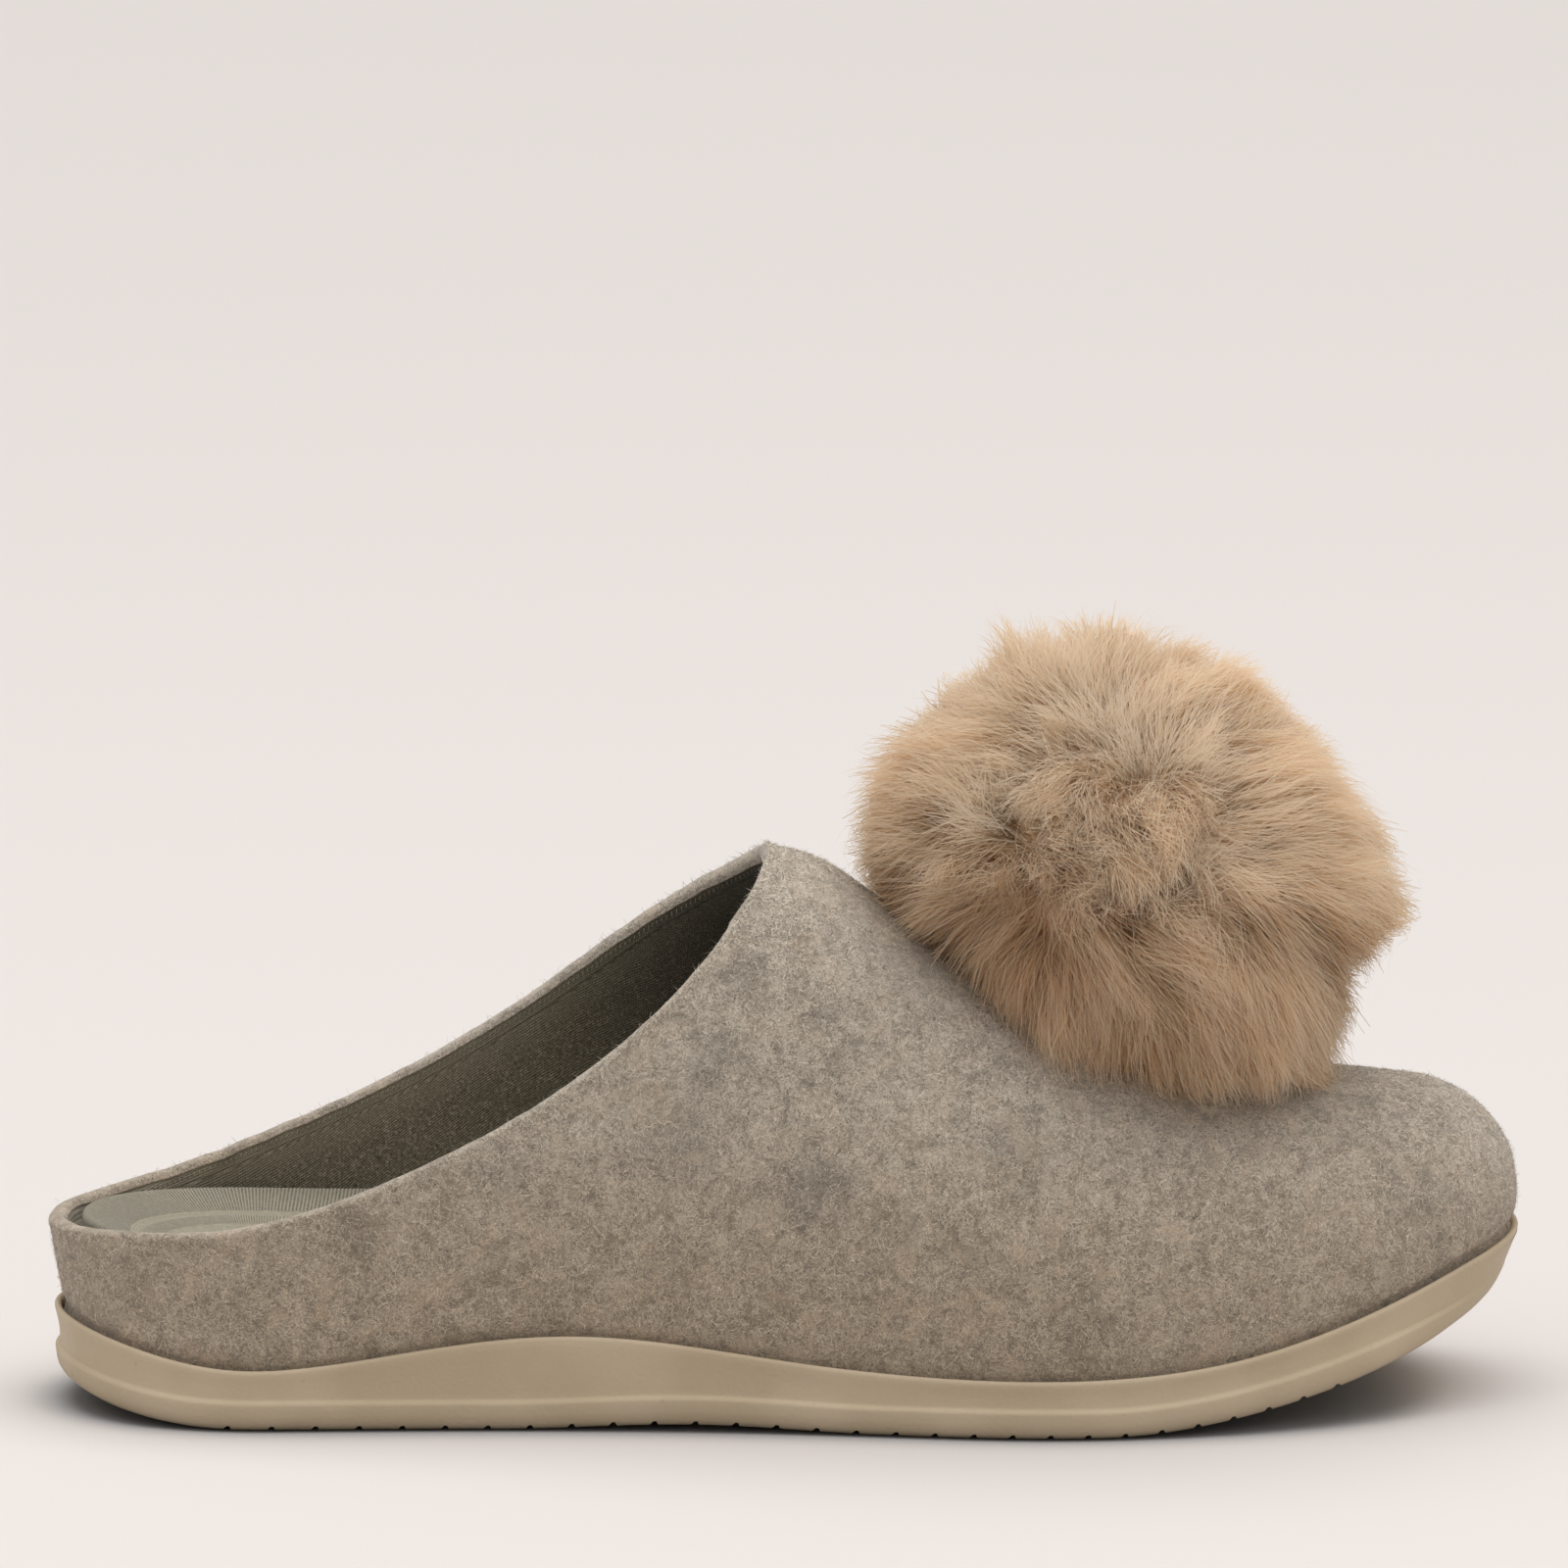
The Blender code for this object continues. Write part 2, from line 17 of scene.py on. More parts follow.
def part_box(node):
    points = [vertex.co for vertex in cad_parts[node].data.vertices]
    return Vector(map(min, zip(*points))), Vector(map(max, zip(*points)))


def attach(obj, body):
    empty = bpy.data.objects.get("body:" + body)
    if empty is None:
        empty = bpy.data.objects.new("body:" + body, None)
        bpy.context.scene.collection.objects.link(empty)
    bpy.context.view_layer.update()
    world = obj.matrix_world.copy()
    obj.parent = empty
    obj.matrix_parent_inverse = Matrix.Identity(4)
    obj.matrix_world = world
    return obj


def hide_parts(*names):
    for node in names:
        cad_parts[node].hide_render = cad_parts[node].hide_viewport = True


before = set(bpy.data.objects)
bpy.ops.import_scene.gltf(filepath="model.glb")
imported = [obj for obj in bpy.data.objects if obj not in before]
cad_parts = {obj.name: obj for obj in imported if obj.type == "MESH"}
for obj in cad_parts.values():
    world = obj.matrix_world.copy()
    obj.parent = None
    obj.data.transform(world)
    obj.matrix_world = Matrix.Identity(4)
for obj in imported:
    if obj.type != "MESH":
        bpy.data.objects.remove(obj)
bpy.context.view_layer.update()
MM = 0.001

# Sizes of the shoe, the same as those of its solids
SOLE_LENGTH = 0.258
HEEL_WIDTH = 0.067
WAIST_WIDTH = 0.068
BALL_WIDTH = 0.094
TOE_SWING = 0.005
TOE_SPRING = 0.0200
HEEL_LIFT = 0.0050
ARCH_LIFT = 0.0010
EDGE_RADIUS = 0.0030
BAND_HEIGHT = 0.0051
BAND_STEP = 0.0006
LIP_WIDTH = 0.0012
LIP_DEPTH = 0.0025
FLOOR_THICKNESS = 0.0060
SIDE_LEAN = 0.0002
TOE_RAKE = 0.50
HEEL_RAKE = 0.12
HEEL_LIP = 0.0170
SEAT_LIP = 0.0107
ARCH_LIP_LATERAL = 0.0165
ARCH_LIP_MEDIAL = 0.0185
BALL_LIP = 0.0102
TOE_LIP = 0.0293
GROOVE_WIDTH = 0.0016
GROOVE_DEPTH = 0.0010
PITCH_HEEL = 0.0076
PITCH_TOE = 0.0060
TREAD_START = 0.031
TREAD_END = 0.226
FELT_WALL = 0.0030
THROAT_REACH = 0.1265
INSTEP_HEIGHT = 0.0975
TOE_HEIGHT = 0.0560
TOE_CAP_LENGTH = 0.026
THROAT_LEAN = 0.014
WALL_BULGE = 0.0014
HEEL_FLARE = 0.0026
HEEL_RIM = 0.0320
FIT_GAP = 0.0003
FOOTBED_GAP = 0.0005
FOOTBED_ROLL = 0.0030
HEEL_SEAT = 0.0255
HEEL_CUP = 0.0050
BALL_BED = 0.0140
POMPOM_REACH = 0.1880
POMPOM_HEIGHT = 0.0900

# Fineness of the visible surfaces
COLLAR_STEPS = 104
VAMP_STEPS = 92
WALL_ROWS = 48

# How many loose fibres each of the felt's two layers has, and how many hairs the pompom
FIBRES = 50000
HAIRS = 112000

# The camera's turn to the heel side, its height over the floor's plane, its distance and its lens, and the
# point that it looks at, across and up in its own view
CAMERA_TURN = math.radians(-2.0)
CAMERA_RISE = math.radians(12.0)
CAMERA_DISTANCE = 1.8
CAMERA_LENS = 235.7
TARGET_ACROSS = -0.00026
TARGET_UP = 0.1058

# Light: a pale sky, a broad sun for the ceiling, and two square lamps with their places and powers
SKY_POWER = 0.50
CEILING_POWER = 2.15
CEILING_BREADTH = math.radians(66)
CEILING_WAY = (0.08, 0.12, 1.0)
LAMP_SIZE = 1.2
LAMPS = (("left", (-0.9, -0.3, 1.5), 4.3), ("right", (1.0, -0.7, 1.3), 3.6))
FLOOR_REACH = 14
# Reach of the painted contact shadow that darkens the floor near the sole
PAINTED_SHADOW_REACH = 0.013

THROAT = THROAT_REACH / SOLE_LENGTH

# share of length, lateral half width, medial half width, before the ends are rounded
SOLE_OUTLINE = (
    (0.00, 0.500 * HEEL_WIDTH, 0.500 * HEEL_WIDTH),
    (0.14, 0.500 * HEEL_WIDTH, 0.500 * HEEL_WIDTH),
    (0.38, 0.515 * WAIST_WIDTH, 0.435 * WAIST_WIDTH),
    (0.52, 0.420 * BALL_WIDTH, 0.385 * BALL_WIDTH),
    (0.66, 0.490 * BALL_WIDTH, 0.485 * BALL_WIDTH),
    (0.80, 0.500 * BALL_WIDTH, 0.490 * BALL_WIDTH),
    (1.00, 0.480 * BALL_WIDTH, 0.440 * BALL_WIDTH),
)
HEEL_ROUNDS = {"share": 0.155, "power": 2.12}
TOE_ROUNDS = {-1: {"share": 0.400, "power": 2.30}, 1: {"share": 0.300, "power": 2.35}}

# share of length, lip height on the lateral side, lip height on the medial side
LIP_LINE = (
    (0.00, HEEL_LIP, HEEL_LIP),
    (0.05, 0.50 * HEEL_LIP + 0.50 * SEAT_LIP, 0.50 * HEEL_LIP + 0.50 * SEAT_LIP),
    (0.12, SEAT_LIP, SEAT_LIP),
    (0.24, 0.50 * ARCH_LIP_LATERAL + 0.50 * SEAT_LIP, 0.50 * ARCH_LIP_MEDIAL + 0.50 * SEAT_LIP),
    (0.35, ARCH_LIP_LATERAL, ARCH_LIP_MEDIAL),
    (0.50, 0.35 * ARCH_LIP_LATERAL + 0.65 * BALL_LIP, 0.40 * ARCH_LIP_MEDIAL + 0.60 * BALL_LIP),
    (0.66, BALL_LIP, BALL_LIP),
    (0.80, 0.85 * BALL_LIP + 0.15 * TOE_LIP, 0.85 * BALL_LIP + 0.15 * TOE_LIP),
    (0.90, 0.47 * BALL_LIP + 0.53 * TOE_LIP, 0.47 * BALL_LIP + 0.53 * TOE_LIP),
    (0.96, 0.18 * BALL_LIP + 0.82 * TOE_LIP, 0.18 * BALL_LIP + 0.82 * TOE_LIP),
    (1.00, TOE_LIP, TOE_LIP),
)

# share of length, height of the crest over the floor, roundness of the section
CREST_LINE = (
    (0.00, 1.20 * INSTEP_HEIGHT, 3.2),
    (0.25, 1.10 * INSTEP_HEIGHT, 2.7),
    (THROAT, INSTEP_HEIGHT, 2.15),
    (THROAT + 0.025, 0.972 * INSTEP_HEIGHT, 2.12),
    (THROAT + 0.050, 0.926 * INSTEP_HEIGHT, 2.10),
    (0.62, 0.56 * TOE_HEIGHT + 0.474 * INSTEP_HEIGHT, 2.10),
    (0.72, 0.85 * TOE_HEIGHT + 0.180 * INSTEP_HEIGHT, 2.18),
    (0.82, 1.020 * TOE_HEIGHT, 2.30),
    (0.90, 0.98 * TOE_HEIGHT, 2.40),
    (1.00, 0.94 * TOE_HEIGHT, 2.35),
)

# share of the way round the collar from the heel to the throat, rim height on the lateral side,
# rim height on the medial side
RIM_LINE = (
    (0.00, HEEL_RIM, HEEL_RIM),
    (0.20, 1.045 * HEEL_RIM, 1.05 * HEEL_RIM),
    (0.30, 1.070 * HEEL_RIM, 1.15 * HEEL_RIM),
    (0.40, 0.386 * INSTEP_HEIGHT, 0.447 * INSTEP_HEIGHT),
    (0.50, 0.466 * INSTEP_HEIGHT, 0.549 * INSTEP_HEIGHT),
    (0.60, 0.577 * INSTEP_HEIGHT, 0.681 * INSTEP_HEIGHT),
    (0.70, 0.717 * INSTEP_HEIGHT, 0.823 * INSTEP_HEIGHT),
    (0.80, 0.864 * INSTEP_HEIGHT, 0.920 * INSTEP_HEIGHT),
    (0.90, 0.970 * INSTEP_HEIGHT, 0.975 * INSTEP_HEIGHT),
    (1.00, INSTEP_HEIGHT, INSTEP_HEIGHT),
)

# share of length, footbed's middle height, rise from there to its lateral edge, rise to its medial edge
FOOTBED_LINE = (
    (0.00, 1.06 * HEEL_SEAT, HEEL_CUP, HEEL_CUP),
    (0.16, HEEL_SEAT, HEEL_CUP, HEEL_CUP),
    (0.38, 0.92 * HEEL_SEAT, 0.70 * HEEL_CUP, 1.10 * HEEL_CUP),
    (0.66, BALL_BED, 0.30 * HEEL_CUP, 0.30 * HEEL_CUP),
    (0.82, 0.75 * BALL_BED + 0.25 * TOE_LIP, 0.20 * HEEL_CUP, 0.20 * HEEL_CUP),
    (1.00, 1.15 * TOE_LIP, 0.10 * HEEL_CUP, 0.10 * HEEL_CUP),
)

# The pompom's outline as the camera sees it: bearing from straight right in degrees, reach of the fur
FUR_OUTLINE = (
    (-180, 0.0470),
    (-160, 0.0400),
    (-145, 0.0385),
    (-120, 0.0400),
    (-95, 0.0425),
    (-72, 0.0455),
    (-50, 0.0495),
    (-40, 0.0470),
    (-27, 0.0430),
    (-18, 0.0425),
    (-8, 0.0475),
    (8, 0.0445),
    (28, 0.0408),
    (48, 0.0396),
    (67, 0.0418),
    (94, 0.0436),
    (125, 0.0460),
    (160, 0.0482),
    (180, 0.0470),
)


# Shape


def spline(table, column, share):
    """Natural cubic curve through one column of a table, whose first column is the share."""
    knots = np.array([row[0] for row in table])
    values = np.array([row[column] for row in table])
    steps, slopes = np.diff(knots), np.diff(values) / np.diff(knots)
    count = len(knots)
    system, right = np.eye(count), np.zeros(count)
    for i in range(1, count - 1):
        system[i, i - 1 : i + 2] = steps[i - 1], 2 * (steps[i - 1] + steps[i]), steps[i]
        right[i] = 6 * (slopes[i] - slopes[i - 1])
    bends = np.linalg.solve(system, right)
    share = np.clip(share, knots[0], knots[-1])
    i = np.clip(np.searchsorted(knots, share) - 1, 0, count - 2)
    past, left = share - knots[i], knots[i + 1] - share
    curve = (bends[i] * left**3 + bends[i + 1] * past**3) / (6 * steps[i])
    curve += (values[i] / steps[i] - bends[i] * steps[i] / 6) * left
    return curve + (values[i + 1] / steps[i] - bends[i + 1] * steps[i] / 6) * past


def mirrored(table):
    """A table carried on past both ends by its mirror image, so that its curve runs level there."""
    before = [(2 * table[0][0] - row[0], *row[1:]) for row in table[2:0:-1]]
    after = [(2 * table[-1][0] - row[0], *row[1:]) for row in table[-2:-4:-1]]
    return (*before, *table, *after)


def quarter(share, power):
    """A superellipse's fall from 1 at share 0 to 0 at share 1."""
    return (1 - np.clip(share, 0, 1) ** power) ** (1 / power)


def round_trip(collar, vamp):
    """The collar's and the vamp's values for each column: heel, lateral side, toe, medial side."""
    half = np.append(collar[:-1], vamp)
    return np.append(half, half[-2:0:-1])


COLLAR_WAY = np.arange(COLLAR_STEPS + 1) / COLLAR_STEPS
VAMP_WAY = np.arange(VAMP_STEPS + 1) / VAMP_STEPS
VAMP_START = THROAT + THROAT_LEAN / SOLE_LENGTH
SHARES = round_trip(
    THROAT * np.sin(COLLAR_WAY * np.pi / 2) ** 2 + THROAT_LEAN / SOLE_LENGTH * COLLAR_WAY**4,
    VAMP_START + (1 - VAMP_START) * np.sin(VAMP_WAY * np.pi / 2) ** 1.25,
)
WAY_ROUND = round_trip(COLLAR_WAY, np.ones(VAMP_STEPS + 1))
LEAN = round_trip(THROAT_LEAN * COLLAR_WAY**4, THROAT_LEAN * (1 - VAMP_WAY**2))
TOE_CAP = round_trip(0 * COLLAR_WAY, TOE_CAP_LENGTH * VAMP_WAY**2)
COUNT = len(SHARES)
HALF_COUNT = COLLAR_STEPS + VAMP_STEPS + 1
SIDES = np.append(-np.ones(HALF_COUNT), np.ones(HALF_COUNT - 2))


def both_sides(table, shares, first_column=1):
    lateral = spline(table, first_column, shares)
    medial = spline(table, first_column + 1, shares)
    ends = (SHARES == 0) | (SHARES == 1)
    return np.where(ends, (lateral + medial) / 2, np.where(SIDES < 0, lateral, medial))


def middle(x):
    """Y of the middle line, which swings towards the big toe."""
    return TOE_SWING * np.clip((x / SOLE_LENGTH - 0.5) / 0.5, 0, 1) ** 2


def plan_ring():
    """The sole's outline, one point for each column."""
    toe = np.array([TOE_ROUNDS[int(side)]["share"] for side in SIDES])
    power = np.array([TOE_ROUNDS[int(side)]["power"] for side in SIDES])
    half = both_sides(SOLE_OUTLINE, SHARES)
    half = half * quarter(1 - SHARES / HEEL_ROUNDS["share"], HEEL_ROUNDS["power"])
    half = half * quarter((SHARES - 1 + toe) / toe, power)
    x = SHARES * SOLE_LENGTH
    return np.stack([x, middle(x) + SIDES * half], axis=1)


def inset(ring, distance):
    """A plan ring moved inwards by a distance, along its own normals."""
    along = np.roll(ring, -1, axis=0) - np.roll(ring, 1, axis=0)
    along /= np.linalg.norm(along, axis=1, keepdims=True)
    return ring + np.stack([-along[:, 1], along[:, 0]], axis=1) * np.reshape(distance, (-1, 1))


def spine_ring(heel_end, toe_end):
    """A plan ring shrunk to the middle line, which stops short of the outline at both ends."""
    heel = np.clip(1 - SHARES / 0.5, 0, 1) ** 2 * heel_end
    toe = np.clip(SHARES / 0.5 - 1, 0, 1) ** 2 * toe_end
    x = SHARES * SOLE_LENGTH + heel - toe
    return np.stack([x, middle(x)], axis=1)


def crest_ring():
    """The crest of the upper, where the two sides' columns meet. Over the collar it is only a guide."""
    x = SHARES * SOLE_LENGTH - LEAN - TOE_CAP
    return np.column_stack([x, middle(x), spline(CREST_LINE, 1, x / SOLE_LENGTH)])


def raised(ring, height):
    return np.column_stack([ring, np.broadcast_to(height, len(ring))])


def bottom(x):
    """Height of the sole's underside: flat under heel and ball, lifted at both ends and at the arch."""
    share = x / SOLE_LENGTH
    heel = HEEL_LIFT * np.clip(1 - share / 0.13, 0, None) ** 2
    toe = TOE_SPRING * np.clip((share - 0.70) / 0.30, 0, None) ** 1.8
    arch = ARCH_LIFT * np.sin(np.pi * np.clip((share - 0.30) / 0.26, 0, 1)) ** 2
    return heel + toe + arch


def lip():
    return both_sides(LIP_LINE, SHARES)


def deck_edge():
    return lip() - LIP_DEPTH


def deck_middle(x):
    return bottom(x) + FLOOR_THICKNESS


def side_inset():
    return BAND_STEP + SIDE_LEAN


def wall_inset():
    return side_inset() + LIP_WIDTH + FIT_GAP


def outward(ring):
    return ring - inset(ring, 1.0)


def seat_row():
    """The foot of the felt's outer face, down on the sole's deck."""
    return raised(inset(plan_ring(), wall_inset()), deck_edge() + FIT_GAP)


def upper_row(turn):
    """One row of the felt's outer face. turn runs from 0 at the sole to 1 at the crest."""
    foot = raised(inset(plan_ring(), wall_inset()), lip() + FIT_GAP)
    top = crest_ring()
    power = spline(CREST_LINE, 2, top[:, 0] / SOLE_LENGTH)
    out = np.cos(turn * np.pi / 2) ** (2 / power)
    up = np.sin(turn * np.pi / 2) ** (2 / power)
    row = top + (foot - top) * np.column_stack([out, out, 1 - up])
    row[:, 0] += LEAN * (out**2 - out)
    height = np.clip((row[:, 2] - foot[:, 2]) / (HEEL_RIM - HEEL_LIP), 0, 1)
    flare = HEEL_FLARE * np.clip(1 - SHARES / 0.12, 0, 1) ** 2 * height
    bulge = WALL_BULGE * np.sin(np.pi * np.clip(up, 0, 1) ** 0.7) * np.clip(SHARES / 0.12, 0, 1)
    row[:, :2] += outward(foot[:, :2]) * (flare + bulge)[:, None]
    return row


def rim_turn(lowered=0.0):
    """How far up its section each column is cut by the collar: 1 from the throat to the toe."""
    foot, crest = lip() + FIT_GAP, crest_ring()
    rim = both_sides(mirrored(RIM_LINE), WAY_ROUND)
    up = np.clip((rim - foot) / (crest[:, 2] - foot), 0, 1)
    turn = np.arcsin(up ** (spline(CREST_LINE, 2, crest[:, 0] / SOLE_LENGTH) / 2)) * 2 / np.pi
    turn = np.where(WAY_ROUND < 1, turn, 1.0)
    rate = np.linalg.norm(upper_row(turn) - upper_row(turn - 0.01), axis=1) / 0.01
    return np.where(WAY_ROUND < 1, turn - lowered / rate, 1.0)


def sole_ring(distance, height):
    """A ring of the sole's side, which leans in under the toe and the heel."""
    lean = TOE_RAKE * np.clip((SHARES - 0.86) / 0.14, 0, 1) ** 1.5
    lean -= HEEL_RAKE * np.clip(1 - SHARES / 0.10, 0, 1)
    ring = raised(inset(plan_ring(), distance), height)
    ring[:, 0] -= lean * (lip() - height)
    return ring


def side_foot():
    """Height of the underside where each column of the leaning side meets it."""
    ground = bottom(SHARES * SOLE_LENGTH)
    for _ in range(6):
        ground = bottom(sole_ring(0.0, ground)[:, 0])
    return ground


def groove_places():
    """Distance from the heel of each groove across the tread. The pitch shrinks towards the toe."""
    x, places = TREAD_START, []
    while x < TREAD_END:
        places.append(x)
        x += PITCH_HEEL + (PITCH_TOE - PITCH_HEEL) * (x - TREAD_START) / (TREAD_END - TREAD_START)
    return places


# The widest points of the felt on both sides, from which the frame's Y follows
WIDE = np.concatenate([upper_row(rim_turn() * k / 11) for k in range(12)])
LOW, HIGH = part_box("upper")
SIDEWAYS = (LOW[1] + HIGH[1] - WIDE[:, 1].min() - WIDE[:, 1].max()) / 2
SHIFT = np.array([LOW[0] - WIDE[:, 0].min(), SIDEWAYS, 0.0])
POMPOM_CENTRE = np.array([POMPOM_REACH, float(middle(POMPOM_REACH)), POMPOM_HEIGHT]) + SHIFT


# Meshes


def unit(vectors):
    return vectors / np.maximum(np.linalg.norm(vectors, axis=-1, keepdims=True), 1e-12)


def along_face(vectors, normals):
    """The part of each vector that lies along a face with that normal."""
    return vectors - normals * (vectors * normals).sum(axis=1, keepdims=True)


def add_object(name, data):
    made = bpy.data.objects.new(name, data)
    bpy.context.scene.collection.objects.link(made)
    return made


def smooth(mesh):
    mesh.polygons.foreach_set("use_smooth", np.ones(len(mesh.polygons), dtype=bool))


def store(mesh, name, values):
    """One number kept with each vertex, for a material to read."""
    kept = mesh.attributes.new(name, "FLOAT", "POINT")
    kept.data.foreach_set("value", np.asarray(values, dtype=np.float32))


def make_object(name, points, faces):
    mesh = bpy.data.meshes.new(name)
    mesh.from_pydata(np.asarray(points).tolist(), [], faces)
    smooth(mesh)
    return add_object(name, mesh)


def ring_faces(first, second, flip=False):
    """Quads between two closed rings of vertex numbers."""
    quads = []
    for i in range(len(first)):
        j = (i + 1) % len(first)
        quad = (first[i], first[j], second[j], second[i])
        quads.append(quad[::-1] if flip else quad)
    return quads


def grid_faces(rings, count, base=0, flip=False):
    """Quads between closed rings, whose vertices are numbered on from base."""
    faces = []
    for start in range(base, base + (rings - 1) * count, count):
        faces += ring_faces(range(start, start + count), range(start + count, start + 2 * count), flip)
    return faces


def loft(name, rings, uv=None, flip=False):
    """An object of quads between closed rings of equal length, in the shoe's frame, with its doubles merged.

    uv has, for each ring, the millimetres round to each column, once more to the first, and those across.
    """
    count = len(rings[0])
    made = make_object(name, np.concatenate(rings) + SHIFT, grid_faces(len(rings), count, flip=flip))
    if uv is not None:
        layer = made.data.uv_layers.new(name="Cloth")
        corner = np.empty(len(made.data.loops), dtype=np.int32)
        made.data.loops.foreach_get("vertex_index", corner)
        ring, column = np.divmod(corner.reshape(-1, 4), count)
        last = (column.max(axis=1) == count - 1) & (column.min(axis=1) == 0)
        column = np.where(last[:, None] & (column == 0), count, column)
        layer.data.foreach_set("uv", uv[ring, column].astype(np.float32).ravel())
    merge(made)
    return made


def merge(made):
    """Joins the vertices that lie on each other."""
    work = bmesh.new()
    work.from_mesh(made.data)
    bmesh.ops.remove_doubles(work, verts=work.verts, dist=1e-6)
    bmesh.ops.dissolve_degenerate(work, edges=work.edges, dist=1e-7)
    work.to_mesh(made.data)
    work.free()
    made.data.update()


def cloth_places(rings, guide, first=0):
    """Millimetres round the guide ring, and across all rings from the first one, for each ring and column."""
    stack = np.array(rings)
    stack = np.concatenate([stack, stack[:, :1]], axis=1)
    steps = np.linalg.norm(np.diff(np.vstack([guide, guide[:1]]), axis=0), axis=1)
    around = np.concatenate([[0.0], np.cumsum(steps)])
    across = np.linalg.norm(np.diff(stack, axis=0), axis=2)
    across = np.concatenate([np.zeros((1, stack.shape[1])), np.cumsum(across, axis=0)])
    return np.stack([np.broadcast_to(around, across.shape), across - across[first]], axis=-1) / MM


def row_normals(rows):
    """Outward normals of a grid of rows by columns. Columns that meet at the crest share theirs."""
    stack = np.array(rows)
    around = np.roll(stack, -1, axis=1) - np.roll(stack, 1, axis=1)
    across = np.gradient(stack, axis=0)
    normals = unit(np.cross(around, across))
    partner = (COUNT - np.arange(COUNT)) % COUNT
    vamp = WAY_ROUND == 1
    meet = normals[-2] + normals[-2][partner]
    normals[-1][vamp] = unit(meet[vamp])
    flat = np.linalg.norm(np.nan_to_num(normals), axis=-1) < 0.5
    normals[flat] = (0, 0, 1)
    return normals


def soft_noise(points, size, seed, octaves=2):
    """Smooth values from about -1 to 1 at points, as a sum of waves in random directions."""
    rng = np.random.default_rng(seed)
    total = np.zeros(len(points))
    weight = 0.0
    for octave in range(octaves):
        for _ in range(5):
            way = rng.normal(size=3)
            way *= 2 * np.pi / (size / 2**octave) / np.linalg.norm(way) * rng.uniform(0.7, 1.3)
            total += np.sin(points @ way + rng.uniform(0, 2 * np.pi)) / 2**octave
        weight += 1 / 2**octave
    return total / (weight * 2.2)


def search_tree(points):
    tree = KDTree(len(points))
    for i, point in enumerate(points):
        tree.insert(point, i)
    tree.balance()
    return tree


# Materials


def srgb(red, green, blue):
    """A colour given in display values from 0 to 255."""
    shares = (value / 255 for value in (red, green, blue))
    return tuple(((share + 0.055) / 1.055) ** 2.4 if share > 0.04 else share / 12.92 for share in shares)


class Paint:
    """A material's node tree under construction."""

    def __init__(self, name, roughness=0.9, **constants):
        self.material = bpy.data.materials.new(name)
        self.material.use_nodes = True
        self.tree = self.material.node_tree
        self.shader = self.tree.nodes["Principled BSDF"]
        self.output = self.tree.nodes["Material Output"]
        self.shader.inputs["Roughness"].default_value = roughness
        for key, value in constants.items():
            self.shader.inputs[key.replace("_", " ")].default_value = value

    def node(self, kind, settings=None, **links):
        made = self.tree.nodes.new("ShaderNode" + kind)
        for key, value in (settings or {}).items():
            setattr(made, key, value)
        for key, value in links.items():
            key = int(key[1:]) if key[0] == "i" and key[1:].isdigit() else key.replace("_", " ")
            socket = made.inputs[key]
            if isinstance(value, bpy.types.NodeSocket):
                self.tree.links.new(value, socket)
            elif isinstance(value, tuple) and len(value) == 3 and socket.type == "RGBA":
                socket.default_value = (*value, 1.0)
            else:
                socket.default_value = value
        return made

    def vector(self, operation, first, **rest):
        return self.node("VectorMath", {"operation": operation}, i0=first, **rest).outputs[0]

    def place(self, scale=1000.0):
        """Position on the shoe, in millimetres when scale is 1000."""
        return self.vector("SCALE", self.node("TexCoord").outputs["Object"], Scale=scale)

    def cloth(self):
        """Millimetres round and across a piece of cloth."""
        return self.node("UVMap", {"uv_map": "Cloth"}).outputs[0]

    def parts(self, vector):
        """The three numbers of a vector."""
        return self.node("SeparateXYZ", Vector=vector).outputs[:]

    def noise(self, vector, size, detail=2.0, roughness=0.5, distortion=0.0, offset=0.0):
        if offset:
            vector = self.vector("ADD", vector, i1=(offset,) * 3)
        grain = {"Scale": 1 / size, "Detail": detail, "Roughness": roughness, "Distortion": distortion}
        return self.node("TexNoise", Vector=vector, **grain).outputs["Fac"]

    def math(self, operation, first, second=0.0):
        return self.node("Math", {"operation": operation}, i0=first, i1=second).outputs[0]

    def wave(self, value, length):
        """A sine wave of one length along a value."""
        return self.math("SINE", self.math("MULTIPLY", value, 2 * math.pi / length))

    def spread(self, value, low, high, to_low=0.0, to_high=1.0):
        """Value carried smoothly from one range to another."""
        ranges = {"From_Min": low, "From_Max": high, "To_Min": to_low, "To_Max": to_high}
        return self.node("MapRange", {"interpolation_type": "SMOOTHSTEP"}, Value=value, **ranges).outputs[0]

    def mix(self, factor, first, second, blend="MIX"):
        settings = {"data_type": "RGBA", "blend_type": blend}
        return self.node("Mix", settings, i0=factor, i6=first, i7=second).outputs[2]

    def layers(self, base, *rows):
        """Colours laid over base in turn. Each row: value, its start, its full mark, strength and colour."""
        for value, start, full, strength, colour in rows:
            base = self.mix(self.spread(value, start, full, 0.0, strength), base, srgb(*colour))
        return base

    def attribute(self, name):
        return self.node("Attribute", {"attribute_name": name}).outputs["Fac"]

    def bump(self, height, distance, strength, **normal):
        """Relief of a height in metres, over that of an earlier Normal when one is given."""
        return self.node("Bump", Height=height, Distance=distance, Strength=strength, **normal).outputs[0]

    def finish(self, colour=None, normal=None, roughness=None):
        for key, value in (("Base Color", colour), ("Normal", normal), ("Roughness", roughness)):
            if value is not None:
                self.tree.links.new(value, self.shader.inputs[key])
        return self.material


